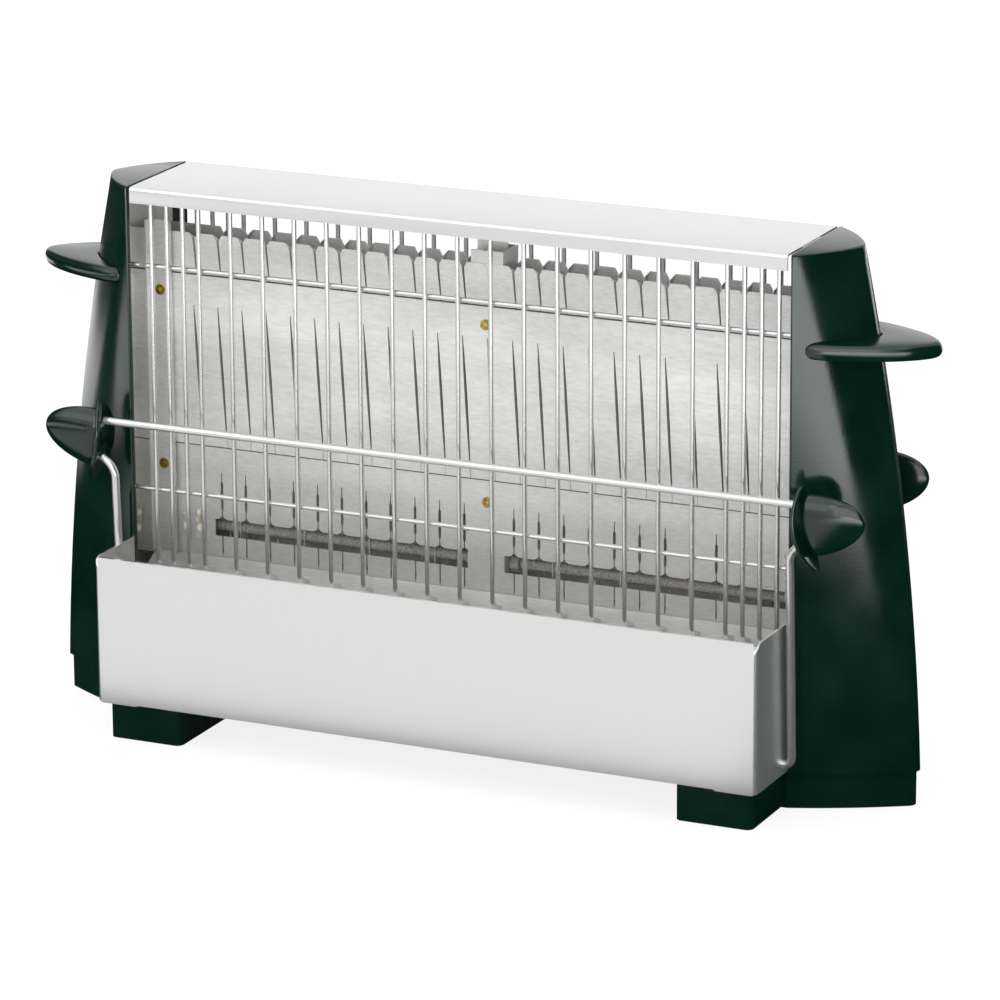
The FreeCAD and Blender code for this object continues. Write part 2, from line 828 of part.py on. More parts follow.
def make_element_supports():
    """Thin plates that hold each rod, standing on the slope of the chutes."""
    solids = []
    for x0, x1 in ((-element_left_start, -element_left_end), (element_right_start, element_right_end)):
        gap = (x1 - x0) / support_count
        for number in range(support_count):
            x = x0 + gap * (number + 1 / 2)
            plate = box(x - support_sheet / 2, x + support_sheet / 2, -support_width, support_width,
                        trough_floor + trough_sheet, element_height + element_radius + support_sheet * 2)
            eye = (element_radius + screw_play) / math.cos(math.pi / wire_sides)
            middle = Vec(x, 0, element_height)
            past = Vec(overrun, 0, 0)
            solids.append(plate.cut(bar(middle - past, middle + past, eye, wire_sides)))
    return solids


def make_insulators():
    """Ceramic collars at the rods' ends."""
    solids = []
    for x, side in ((-element_left_start, -1), (-element_left_end, 1), (element_right_start, -1),
                    (element_right_end, 1)):
        solids.append(bar(Vec(x, 0, element_height), Vec(x + side * insulator_length, 0, element_height),
                          insulator_radius, small_sides))
    return solids


def bail_point(x, height):
    """A point in the bail's leaning plane."""
    return Vec(x, -pivot_y - (height - pivot_height) * math.tan(bail_lean), height)


def plate_place(drop):
    """The middle of the right knob plate's inner face, at a drop below the knob's centre."""
    half = knob_disc / 2
    out = knob_centre_out + drop * math.sin(knob_lean) - half * math.cos(knob_lean)
    down = drop * math.cos(knob_lean) + half * math.sin(knob_lean)
    return bail_point(cap_inner + out, knob_centre_height - down)


def leg_points():
    """The right leg's line: from the knob plate, down past the end wall and in through it."""
    seat = plate_place(leg_seat_drop)
    knee = bail_point(leg_x, seat.z - leg_knee_drop)
    into = knee - seat
    into.normalize()
    straight = abs(into.x) * math.cos(knob_lean) + abs(into.z) * math.sin(knob_lean)
    askew = math.sqrt(1 - straight * straight)
    top = seat + into * ((leg_radius * askew + fit_gap) / straight)
    foot = bail_point(leg_x, pivot_height)
    inside = Vec(trough_end - trough_sheet - leg_inside, -pivot_y, pivot_height)
    return [top, knee, foot, inside]


def make_leg():
    """The right leg of the front bail, with a blind hole for the knob's pin."""
    points = leg_points()
    leg = tube(bend_path(points, (leg_top_bend, leg_low_bend), leg_bend_steps), leg_radius, small_sides)
    top, knee = points[:2]
    into = knee - top
    into.normalize()
    hole = bar(top - into * overrun, top + into * (knob_pin_depth + fit_gap), bail_bore, wire_sides)
    return leg.cut(hole)


def rod_half():
    """Half the holding rod's length, up to the knob plates."""
    return plate_place(-knob_drop).x - bail_rod_radius * math.tan(knob_lean) - fit_gap


def make_holding_rod():
    """The tube across the front, open at both ends for the knobs' pins."""
    ends = [bail_point(-rod_half(), bail_rod_height), bail_point(rod_half(), bail_rod_height)]
    past = Vec(overrun, 0, 0)
    across = bar(ends[0], ends[1], bail_rod_radius, small_sides)
    return across.cut(bar(ends[0] - past, ends[1] + past, bail_bore, wire_sides))


def placed_knob(shape):
    """Leans a knob made about its own centre and puts it at the bail's end."""
    shape.rotate(Vec(0, 0, 0), Vec(0, 1, 0), -knob_lean_degrees)
    shape.rotate(Vec(0, 0, 0), Vec(1, 0, 0), math.degrees(bail_lean))
    shape.translate(bail_point(cap_inner + knob_centre_out, knob_centre_height))
    return shape


def oval(x, half_height, half_depth):
    """An upright ellipse facing along the length, as a ring of corners."""
    return [Vec(x, half_depth * math.sin(2 * math.pi * number / knob_sides),
                half_height * math.cos(2 * math.pi * number / knob_sides)) for number in range(knob_sides)]


def make_knob():
    """The right knob: an oval plate with a wing outside and two pins inside."""
    disc = skin([oval(side * knob_disc / 2, knob_half_height - inset, knob_half_depth - inset)
                 for side, inset in ((-1, knob_disc_round), (0, 0), (1, knob_disc_round))])
    wing = skin([oval(wing_length * share, wing_half_height * math.sqrt(1 - share * share),
                      wing_half_depth * math.sqrt(1 - share * share)) for share in wing_shares])
    body = placed_knob(disc.fuse(wing))
    top, knee = leg_points()[:2]
    into = knee - top
    into.normalize()
    leg_pin = bar(plate_place(leg_seat_drop) - into * knob_disc, top + into * knob_pin_depth,
                  knob_pin_radius, wire_sides)
    end = bail_point(rod_half(), bail_rod_height)
    reach = Vec(bail_rod_radius * math.tan(knob_lean) + fit_gap + knob_disc, 0, 0)
    rod_pin = bar(end - Vec(knob_pin_depth, 0, 0), end + reach, knob_pin_radius, wire_sides)
    return joined([body, leg_pin, rod_pin])


def make_pivot_clip():
    """Push on ring inside the trough's end wall."""
    x = trough_end - trough_sheet - clip_gap
    disc = bar(Vec(x - clip_thickness, -pivot_y, pivot_height), Vec(x, -pivot_y, pivot_height), clip_radius,
               small_sides)
    return disc.cut(bar(Vec(x - overrun, -pivot_y, pivot_height), Vec(x + overrun, -pivot_y, pivot_height),
                        leg_radius + screw_play, small_sides))


def make_trough_screws():
    """Pan screws through a trough's floor into both feet."""
    place = trough_screw_place(-1)
    seat = trough_floor + trough_sheet
    top = Vec(place.x, place.y, seat)
    tip = Vec(place.x, place.y, trough_floor - screw_length + screw_socket)
    head = bar(top, top + Vec(0, 0, screw_head_height), screw_head, small_sides)
    shank = bar(tip, top, screw_shank, wire_sides)
    screw = joined([head, shank])
    return [screw, mirrored_x(screw)]


right_cap = make_end_cap()
save("right_end_cap", right_cap)
save("left_end_cap", mirrored_x(right_cap))
right_base = make_base()
save("right_base", right_base)
save("left_base", mirrored_x(right_base))
right_handle = make_carry_handle()
save("right_carry_handle", right_handle)
save("left_carry_handle", mirrored_x(right_handle))
handle_screw = make_handle_screw()
save("handle_screws", Part.makeCompound([handle_screw, mirrored_x(handle_screw)]))
save("top_cover", make_top_cover())
save("cover_rail", make_cover_rail())
save("centre_cover_bracket", make_cover_bracket())
save("bottom_plate", make_bottom_plate())
save("centre_post", make_centre_post())
right_bracket = make_end_bracket()
save("right_end_bracket", right_bracket)
save("left_end_bracket", mirrored_x(right_bracket))
save("left_element", make_element(-element_left_start, -element_left_end))
save("right_element", make_element(element_right_start, element_right_end))
save("element_supports", Part.makeCompound(make_element_supports()))
save("element_insulators", Part.makeCompound(make_insulators()))

front_pieces = {
    "grill": Part.makeCompound([make_grill(), make_grill_stub()]),
    "trough": make_trough(),
    "chute": make_chute(),
    "comb_sheet": make_comb_sheet(),
    "louvre_sheet": make_louvre_sheet(),
    "lower_sheet": make_lower_sheet(),
    "channel": make_channel(),
    "lead_sleeves": Part.makeCompound(make_sleeves()),
    "brass_eyelets": Part.makeCompound(make_eyelets()),
    "trough_screws": Part.makeCompound(make_trough_screws()),
}
for name, shape in front_pieces.items():
    save("front_" + name, shape)
    save("rear_" + name, turned_back(shape))

leg = make_leg()
knob = make_knob()
clip = make_pivot_clip()
bail_pieces = {
    "holding_rod": make_holding_rod(),
    "right_leg": leg,
    "left_leg": mirrored_x(leg),
    "right_knob": knob,
    "left_knob": mirrored_x(knob),
    "pivot_clips": Part.makeCompound([clip, mirrored_x(clip)]),
}
for name, shape in bail_pieces.items():
    save("front_" + name, shape)
    save("rear_" + name, turned_back(shape))
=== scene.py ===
import bmesh
import bpy
import json
import math
import numpy as np
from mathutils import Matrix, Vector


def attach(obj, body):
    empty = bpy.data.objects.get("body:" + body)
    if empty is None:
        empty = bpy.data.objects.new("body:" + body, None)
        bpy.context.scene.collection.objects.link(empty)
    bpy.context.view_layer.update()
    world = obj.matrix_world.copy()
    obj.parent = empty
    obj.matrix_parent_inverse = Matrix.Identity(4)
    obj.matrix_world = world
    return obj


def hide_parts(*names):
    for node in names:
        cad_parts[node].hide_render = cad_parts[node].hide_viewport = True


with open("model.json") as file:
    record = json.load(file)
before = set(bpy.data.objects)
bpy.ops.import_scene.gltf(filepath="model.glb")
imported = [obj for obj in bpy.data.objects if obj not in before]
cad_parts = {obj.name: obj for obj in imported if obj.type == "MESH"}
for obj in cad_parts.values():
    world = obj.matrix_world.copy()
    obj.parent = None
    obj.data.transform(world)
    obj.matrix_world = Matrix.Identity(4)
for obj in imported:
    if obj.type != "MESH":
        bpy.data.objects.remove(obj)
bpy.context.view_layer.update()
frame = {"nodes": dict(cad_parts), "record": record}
mm = 0.001
print("frame loaded")


# colours and nodes

def hexColour(code):
    # sRGB hex to linear: c/12.92 near black, else ((c + 0.055)/1.055)^2.4
    parts = [int(code[i:i + 2], 16) / 255 for i in (0, 2, 4)]
    return [c / 12.92 if c < 0.04045 else ((c + 0.055) / 1.055) ** 2.4 for c in parts] + [1.0]


def grey(level):
    # one linear level as a colour
    return (level, level, level, 1.0)


def addNode(tree, kind, values=None, inputs=None):
    # one node: values are its settings, inputs are sockets set to a number, a colour or another node's output
    node = tree.nodes.new(kind)
    for name, value in (values or {}).items():
        setattr(node, name, value)
    for name, value in (inputs or {}).items():
        if isinstance(value, bpy.types.NodeSocket):
            tree.links.new(value, node.inputs[name])
        else:
            node.inputs[name].default_value = value
    return node


def newMaterial(name):
    # one shader under a name, and the place on the object, in metres, that its patterns follow
    material = bpy.data.materials.new(name)
    material.use_nodes = True
    tree = material.node_tree
    tree.nodes.clear()
    shader = addNode(tree, "ShaderNodeBsdfPrincipled")
    addNode(tree, "ShaderNodeOutputMaterial", None, {"Surface": shader.outputs["BSDF"]})
    place = addNode(tree, "ShaderNodeTexCoord").outputs["Object"]
    return material, tree, shader, place


def ramp(tree, factor, stops):
    # colour ramp from (position, colour) pairs
    node = addNode(tree, "ShaderNodeValToRGB", None, {"Fac": factor})
    elements = node.color_ramp.elements
    for index, (position, colour) in enumerate(stops):
        element = elements[index] if index < 2 else elements.new(position)
        element.position = position
        element.color = colour
    return node.outputs["Color"]


def noise(tree, place, sizeMm, detail):
    # uneven pattern whose patches are about sizeMm across
    values = {"Vector": place, "Scale": 1 / mm / sizeMm, "Detail": detail}
    return addNode(tree, "ShaderNodeTexNoise", None, values).outputs["Fac"]


def bumps(tree, height, strength):
    # dents that follow a pattern, 0.3 mm deep at full strength
    deepest = 0.3 * mm
    values = {"Strength": strength, "Distance": deepest, "Height": height}
    return addNode(tree, "ShaderNodeBump", None, values).outputs["Normal"]


def maths(tree, operation, *terms):
    # one sum of sockets or numbers; MULTIPLY_ADD is the first times the second plus the third
    return addNode(tree, "ShaderNodeMath", {"operation": operation}, dict(enumerate(terms))).outputs[0]


def times(tree, product, *factors):
    # the product of sockets or numbers
    for factor in factors:
        product = maths(tree, "MULTIPLY", product, factor)
    return product


def without(tree, share):
    # one minus the share
    return maths(tree, "SUBTRACT", 1.0, share)


def band(tree, value, edges, low, high):
    # smooth step from low to high between two edges
    values = {"Value": value, "From Min": edges[0], "From Max": edges[1], "To Min": low, "To Max": high}
    return addNode(tree, "ShaderNodeMapRange", {"interpolation_type": "SMOOTHSTEP"}, values).outputs[0]


# surfaces and pieces

def meshPiece(name, points, faces, material, body, slotName, smooth=True, angle=None):
    # one finished piece in metres from points in mm, with its object at the origin
    mesh = bpy.data.meshes.new(name)
    mesh.from_pydata((np.asarray(points) * mm).tolist(), [], [list(map(int, face)) for face in faces])
    mesh.update()
    if smooth:
        mesh.shade_smooth()
        if angle:
            mesh.set_sharp_from_angle(angle=math.radians(angle))
    piece = bpy.data.objects.new(name, mesh)
    bpy.context.scene.collection.objects.link(piece)
    mesh.materials.append(material)
    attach(piece, body)
    return piece


def outward(piece):
    # makes the faces of a closed mesh point out
    shape = bmesh.new()
    shape.from_mesh(piece.data)
    bmesh.ops.recalc_face_normals(shape, faces=shape.faces)
    shape.to_mesh(piece.data)
    shape.free()
    return piece


def gridFaces(rows, columns, closed=True, start=0):
    # quads between neighbouring rows of a grid, its columns closed into a ring or not
    last = columns if closed else columns - 1
    i, j = np.meshgrid(np.arange(rows - 1), np.arange(last), indexing="ij")
    i, j = i.ravel(), j.ravel()
    k = (j + 1) % columns
    corners = [i * columns + j, i * columns + k, (i + 1) * columns + k, (i + 1) * columns + j]
    return (np.stack(corners, 1) + start).tolist()


def unit(vectors):
    # each vector divided by its length, which is never taken as nothing
    tiny = 1e-9
    return vectors / np.maximum(np.linalg.norm(vectors, axis=-1, keepdims=True), tiny)


def tubeParts(path, radius, sides, across):
    # circle of the radius carried along the path; its corners start square to the direction across
    path = np.asarray(path, float)
    along = unit(np.gradient(path, axis=0))
    first = unit(np.cross(along, across))
    second = np.cross(along, first)
    turn = np.linspace(0, 2 * np.pi, sides, endpoint=False)[None, :, None]
    ring = np.cos(turn) * first[:, None, :] + np.sin(turn) * second[:, None, :]
    reach = np.broadcast_to(np.asarray(radius, float), (len(path),))[:, None, None]
    points = (path[:, None, :] + ring * reach).reshape(-1, 3)
    faces = [face[::-1] for face in gridFaces(len(path), sides)]
    faces.append(list(range(sides)))
    faces.append(list(range(len(points) - 1, len(points) - 1 - sides, -1)))
    return points, faces


def roundedPath(corners, bends, steps):
    # straight runs joined by arcs: each arc starts and ends at bend/tan(half angle) from its corner
    mostRoom = 0.8   # share of the shorter run that an arc may take
    corners = [np.asarray(c, float) for c in corners]
    path = [corners[0]]
    for number, bend in enumerate(bends, 1):
        corner = corners[number]
        runs = (corners[number - 1] - corner, corners[number + 1] - corner)
        before, after = (unit(run) for run in runs)
        half = math.acos(float(np.clip(before @ after, -1, 1))) / 2
        bend = min(bend, mostRoom * min(np.linalg.norm(run) for run in runs) * math.tan(half))
        centre = corner + unit(before + after) * bend / math.sin(half)
        enter = corner + before * bend / math.tan(half) - centre
        leave = corner + after * bend / math.tan(half) - centre
        sweep = math.pi - 2 * half
        share = np.linspace(0, 1, steps + 1)[:, None]
        arc = (np.sin((1 - share) * sweep) * enter + np.sin(share * sweep) * leave) / math.sin(sweep)
        path += list(centre + arc)
    path.append(corners[-1])
    return np.array(path)


def strip(profile, x0, x1):
    # closed side view (y, z) carried straight along the length
    profile = np.asarray(profile, float)
    count = len(profile)
    ends = [np.column_stack([np.full(count, x), profile]) for x in (x0, x1)]
    faces = gridFaces(2, count)
    faces += [list(range(count - 1, -1, -1)), list(range(count, 2 * count))]
    return np.concatenate(ends), faces


def rings(x, deep, high, around):
    # ellipses across the length, one at each x with its half depth and half height, flat at both ends
    turn = np.linspace(0, 2 * np.pi, around, endpoint=False)[None, :]
    sheet = [x[:, None] + 0 * turn, deep[:, None] * np.sin(turn), high[:, None] * np.cos(turn)]
    faces = gridFaces(len(x), around)
    faces.append(list(range(around - 1, -1, -1)))
    faces.append(list(range((len(x) - 1) * around, len(x) * around)))
    return np.stack(sheet, 2).reshape(-1, 3), faces


def gathered(parts):
    # several (points, faces) lists as one
    points, faces, count = [], [], 0
    for somePoints, someFaces in parts:
        points.append(np.asarray(somePoints, float))
        faces += [[corner + count for corner in face] for face in someFaces]
        count += len(somePoints)
    return np.concatenate(points), faces


def mirrored(points, faces):
    # the same surface on the other end, its faces turned so that they still point outwards
    return np.asarray(points) * [-1, 1, 1], [face[::-1] for face in faces]


def turnedBack(points, faces):
    # half a turn about the upright middle line
    return np.asarray(points) * [-1, -1, 1], faces


def bothEnds(points, faces):
    # a right piece and its mirror image at the left
    return {"right": (points, faces), "left": mirrored(points, faces)}.items()


def bothSides(points, faces):
    # a front piece and the same piece turned to the back
    return {"front": (points, faces), "rear": turnedBack(points, faces)}.items()


# materials, with the size of each pattern in millimetres

def phenolicMoulding():
    # phenolic moulding, polished in the mould: very dark green, faintly uneven, with a wide soft shine
    look = {
        "colour": "041C14", "pale": "07261D", "cloudMm": 26, "grainMm": 0.9, "grainBump": 0.05,
        "smoothest": 0.09, "dullest": 0.18, "refraction": 1.6,
    }
    material, tree, shader, place = newMaterial("polishedGreenPhenolic")
    cloud = noise(tree, place, look["cloudMm"], 4.0)
    grain = noise(tree, place, look["grainMm"], 2.0)
    colour = ramp(tree, cloud, [(0.35, hexColour(look["colour"])), (0.75, hexColour(look["pale"]))])
    dull = ramp(tree, cloud, [(0.3, grey(look["smoothest"])), (0.7, grey(look["dullest"]))])
    tree.links.new(colour, shader.inputs["Base Color"])
    tree.links.new(dull, shader.inputs["Roughness"])
    tree.links.new(bumps(tree, grain, look["grainBump"]), shader.inputs["Normal"])
    shader.inputs["IOR"].default_value = look["refraction"]
    return material


def platedSheet():
    # satin nickel plating on folded sheet: a soft mirror that dulls slowly from place to place
    look = {"colour": "E6E7E6", "waveMm": 60, "smoothest": 0.2, "drift": 0.06, "metal": 0.85}
    material, tree, shader, place = newMaterial("brightPlatedSheet")
    wave = noise(tree, place, look["waveMm"], 0.0)
    dull = maths(tree, "MULTIPLY_ADD", wave, look["drift"], look["smoothest"])
    tree.links.new(dull, shader.inputs["Roughness"])
    shader.inputs["Base Color"].default_value = hexColour(look["colour"])
    shader.inputs["Metallic"].default_value = look["metal"]
    return material


def platedWire():
    # bright drawn wire, plated after welding: a clean mirror, a little duller in spots
    look = {"colour": "DCDDDC", "spotMm": 0.6, "smoothest": 0.17, "dullest": 0.27, "metal": 0.85}
    material, tree, shader, place = newMaterial("brightPlatedWire")
    spot = noise(tree, place, look["spotMm"], 2.0)
    dull = ramp(tree, spot, [(0.35, grey(look["smoothest"])), (0.65, grey(look["dullest"]))])
    tree.links.new(dull, shader.inputs["Roughness"])
    shader.inputs["Base Color"].default_value = hexColour(look["colour"])
    shader.inputs["Metallic"].default_value = look["metal"]
    return material


def galvanisedSheet(name, shadowLineHeights):
    # hot dipped galvanised steel, rolled: pale dull grey with fine level mottling, darker towards the bottom,
    # with a painted contact shadow line at each given lap height
    look = {
        "dark": "CACAC8", "pale": "F0F0EE", "mottleMm": 1.0, "mottleShare": 0.45, "mottleBump": 0.2,
        "stretch": 4.0, "cloudMm": 30, "smoothest": 0.36, "dullest": 0.46, "metal": 0.55,
        "lowerTone": "C2C0BC", "darkerBelowMm": (90, 140), "darkerShare": 0.3, "darkerDriftMm": 20,
        "lapShadow": "4A4A48", "lapShadowHalfMm": 0.3,
    }
    material, tree, shader, place = newMaterial(name)
    rolled = {"Vector": place, "Scale": (1 / look["stretch"], 1.0, 1.0)}
    drawn = addNode(tree, "ShaderNodeMapping", None, rolled).outputs["Vector"]
    cloud = noise(tree, drawn, look["cloudMm"], 4.0)
    both = maths(tree, "MULTIPLY_ADD", noise(tree, drawn, look["mottleMm"], 3.0), look["mottleShare"], cloud)
    colour = ramp(tree, both, [(0.5, hexColour(look["dark"])), (0.95, hexColour(look["pale"]))])
    # darker towards the bottom: a darker grey mixed in below a height that wavers with the clouds
    height = addNode(tree, "ShaderNodeSeparateXYZ", None, {"Vector": place}).outputs["Z"]
    edge = maths(tree, "MULTIPLY_ADD", cloud, -look["darkerDriftMm"] * mm, height)
    low = band(tree, edge, [level * mm for level in look["darkerBelowMm"]], look["darkerShare"], 0.0)
    multiply = {"data_type": "RGBA", "blend_type": "MULTIPLY"}
    darkenedLow = addNode(tree, "ShaderNodeMix", multiply, {0: low, 6: colour, 7: hexColour(look["lowerTone"])})
    finished = darkenedLow.outputs[2]
    # painted contact shadow: a thin dark line where each sheet laps over the next
    for seam in shadowLineHeights:
        near = maths(tree, "COMPARE", height, seam * mm, look["lapShadowHalfMm"] * mm)
        lapShaded = {0: near, 6: finished, 7: hexColour(look["lapShadow"])}
        finished = addNode(tree, "ShaderNodeMix", {"data_type": "RGBA"}, lapShaded).outputs[2]
    dull = ramp(tree, both, [(0.5, grey(look["dullest"])), (0.95, grey(look["smoothest"]))])
    tree.links.new(finished, shader.inputs["Base Color"])
    tree.links.new(dull, shader.inputs["Roughness"])
    tree.links.new(bumps(tree, both, look["mottleBump"]), shader.inputs["Normal"])
    shader.inputs["Metallic"].default_value = look["metal"]
    return material


def metalPiece(name, dark, pale, patchMm, smoothest, dullest):
    # small turned or pressed metal part: colour and dullness drift slowly over it
    material, tree, shader, place = newMaterial(name)
    patch = noise(tree, place, patchMm, 3.0)
    colour = ramp(tree, patch, [(0.3, hexColour(dark)), (0.7, hexColour(pale))])
    dull = ramp(tree, patch, [(0.3, grey(dullest)), (0.7, grey(smoothest))])
    tree.links.new(colour, shader.inputs["Base Color"])
    tree.links.new(dull, shader.inputs["Roughness"])
    shader.inputs["Metallic"].default_value = 1.0
    return material


def firedClay(name, dark, pale, grainMm, grainBump, roughness):
    # unglazed fired clay: dry and finely grained
    material, tree, shader, place = newMaterial(name)
    grain = noise(tree, place, grainMm, 4.0)
    colour = ramp(tree, grain, [(0.3, hexColour(dark)), (0.7, hexColour(pale))])
    tree.links.new(colour, shader.inputs["Base Color"])
    tree.links.new(bumps(tree, grain, grainBump), shader.inputs["Normal"])
    shader.inputs["Roughness"].default_value = roughness
    return material


def whiteBraid():
    # glass braid sleeving: fine crossed strands, off white, dry
    look = {
        "dark": "B4AFA3", "pale": "F1EFE8", "strandMm": 0.9, "tilt": 0.9, "waver": 0.6, "strandBump": 0.5,
        "roughness": 0.8,
    }
    wavesToUnit = 20   # the wave node draws twenty stripes to one unit of its scale
    material, tree, shader, place = newMaterial("whiteGlassBraid")
    waves = []
    for turn in (look["tilt"], -look["tilt"]):
        turned = {"Vector": place, "Rotation": (0.0, turn, 0.0)}
        tilted = addNode(tree, "ShaderNodeMapping", None, turned).outputs["Vector"]
        scale = 1 / mm / look["strandMm"] / wavesToUnit
        stripes = {"Vector": tilted, "Scale": scale, "Distortion": look["waver"]}
        waves.append(addNode(tree, "ShaderNodeTexWave", None, stripes).outputs["Fac"])
    crossed = times(tree, *waves)
    colours = [(0.0, hexColour(look["dark"])), (0.5, hexColour(look["pale"]))]
    colour = ramp(tree, crossed, colours)
    tree.links.new(colour, shader.inputs["Base Color"])
    tree.links.new(bumps(tree, crossed, look["strandBump"]), shader.inputs["Normal"])
    shader.inputs["Roughness"].default_value = look["roughness"]
    return material


greenPhenolic = phenolicMoulding()
brightSheet = platedSheet()
brightWire = platedWire()
galvanised = galvanisedSheet("galvanisedSteelSheet", ())
shadowedLapHeights = (194.6, 119.2, 68.2)   # where each reflector sheet laps over the one below it, in mm; a painted contact shadow line lies at each
reflector = galvanisedSheet("galvanisedReflectorSheet", shadowedLapHeights)
brass = metalPiece("drawnBrass", "9A7A30", "E2C468", 2.0, 0.25, 0.35)
screwSteel = metalPiece("plainScrewSteel", "6E6E6C", "A8A8A6", 1.5, 0.35, 0.45)
clay = firedClay("firedClayRod", "7C7A76", "B4B1AB", 0.7, 0.4, 0.7)
braid = whiteBraid()

slotMaterials = {
    "green_moulding": greenPhenolic,
    "plated_sheet": brightSheet,
    "plated_wire": brightWire,
    "galvanised_sheet": galvanised,
    "screw_steel": screwSteel,
    "brass": brass,
    "ceramic": clay,
    "white_braid": braid,
}
for entry in frame["record"]["subparts"]:
    node = frame["nodes"][entry["node"]]
    node.data.materials.clear()
    node.data.materials.append(slotMaterials[entry["material_slot"]])
print("materials ready")


# end caps; here and below, lengths and places are in millimetres

cap = {
    "innerX": 151.0, "low": 15.0, "top": 234.7, "halfDepth": 27.35, "bulge": 48.3, "lean": 0.0374,
    "bow": 1259.0, "sideLow": 250.0, "sideTop": 55.0, "noseLow": 5.0, "noseTop": 7.0, "wall": 2.6,
    "topWall": 3.0, "edge": 1.0, "mouthRound": 0.9, "mouthShare": 0.025,
    "rows": 40, "side": 24, "nose": 12, "edgeSteps": 5,
}


def bulgeAt(height):
    # reach beyond the inner plane: b - lean*h - h^2/(2*bow)
    rise = height - cap["low"]
    return cap["bulge"] - cap["lean"] * rise - rise * rise / (2 * cap["bow"])


def capOutline(height, inset, side, nose, mouth=0.0):
    # pointed arch: two arcs of the side radius from the inner plane, whose inverse runs evenly up the
    # cap, and a small arc over the tip; the mouth's edge is a quarter circle
    height = np.asarray(height, float)[:, None]
    inset = np.broadcast_to(np.asarray(inset, float), (len(height),))[:, None]
    share = (height - cap["low"]) / (cap["top"] - cap["low"])
    radius = 1 / ((1 - share) / cap["sideLow"] + share / cap["sideTop"]) - inset
    tipRadius = cap["noseLow"] + (cap["noseTop"] - cap["noseLow"]) * share - inset
    depth = cap["halfDepth"] - inset
    noseX = bulgeAt(height) - inset - tipRadius
    reach = radius - tipRadius
    span = np.hypot(noseX, depth)
    along = (radius ** 2 - reach ** 2 + span ** 2) / (2 * span)
    off = np.sqrt(radius ** 2 - along ** 2)
    ux, uy = noseX / span, depth / span
    centreX, centreY = ux * along - uy * off, -depth + uy * along + ux * off
    start = np.arctan2(-depth - centreY, -centreX)
    end = np.arctan2(-centreY, noseX - centreX)
    t = np.linspace(cap["mouthShare"] if mouth else 0, 1, side, endpoint=False)[None, :]
    sideX = centreX + radius * np.cos(start + (end - start) * t)
    sideY = centreY + radius * np.sin(start + (end - start) * t)
    if mouth:
        bend = np.linspace(0, np.pi / 2, cap["edgeSteps"])[None, :]
        sideX = np.concatenate([abs(mouth) * (1 - np.cos(bend)) + 0 * depth, sideX], 1)
        sideY = np.concatenate([mouth * (1 - np.sin(bend)) - depth, sideY], 1)
    n = np.linspace(0, 1, nose + 1)[None, :]
    tipX = noseX + tipRadius * np.cos(end * (1 - n))
    tipY = tipRadius * np.sin(end * (1 - n))
    x = np.concatenate([sideX, tipX, tipX[:, -2::-1], sideX[:, ::-1]], 1)
    y = np.concatenate([sideY, tipY, -tipY[:, -2::-1], -sideY[:, ::-1]], 1)
    z = np.broadcast_to(height, x.shape)
    return np.stack([x + cap["innerX"], y, z], 2)


def capSurface():
    # outer skin with a rounded top edge, an inner skin, and the rim that joins them at the inner plane
    low, top, edge = cap["low"], cap["top"], cap["edge"]
    edgeTurn = np.linspace(0, np.pi / 2, cap["edgeSteps"])[1:]
    straight = np.linspace(low, top - edge, cap["rows"])
    heights = np.concatenate([straight, top - edge + edge * np.sin(edgeTurn)])
    insets = np.concatenate([np.zeros(cap["rows"]), edge * (1 - np.cos(edgeTurn))])
    outer = capOutline(heights, insets, cap["side"], cap["nose"], cap["mouthRound"])
    innerHeights = low + (heights - low) * (top - cap["topWall"] - low) / (top - low)
    inner = capOutline(innerHeights, cap["wall"], cap["side"], cap["nose"], -cap["mouthRound"] / 2)
    rows, columns = outer.shape[:2]
    points = np.concatenate([outer.reshape(-1, 3), inner.reshape(-1, 3)])
    shift = rows * columns
    faces = gridFaces(rows, columns, closed=False)
    faces += [face[::-1] for face in gridFaces(rows, columns, closed=False, start=shift)]
    last = (rows - 1) * columns
    faces.append(list(range(last, last + columns)))
    faces.append(list(range(shift + last + columns - 1, shift + last - 1, -1)))
    j = np.arange(columns - 1)
    faces += np.stack([j + 1, j, shift + j, shift + j + 1], 1).tolist()
    i = np.arange(rows - 1) * columns
    faces += np.stack([i, i + columns, shift + i + columns, shift + i], 1).tolist()
    k = i + columns - 1
    faces += np.stack([k + columns, k, shift + k, shift + k + columns], 1).tolist()
    faces.append([last, last + columns - 1, shift + last + columns - 1, shift + last])
    return points, faces


for name, (points, faces) in bothEnds(*capSurface()):
    label = name + "CapShell"
    piece = outward(meshPiece(label, points, faces, greenPhenolic, "body", "green_moulding", angle=40))
    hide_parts(name + "_end_cap")
print("caps made")


# carry handles

handle = {
    "low": 191.3, "thick": 6.6, "span": 56.0, "halfDepth": 26.6, "power": 1.6, "start": 5.6, "outset": 1.0,
    "round": 3.0, "roundShare": 0.9, "gap": 0.12, "blunt": 16, "least": 0.05, "steps": 48, "roundSteps": 6,
    "side": 40, "nose": 10,
}


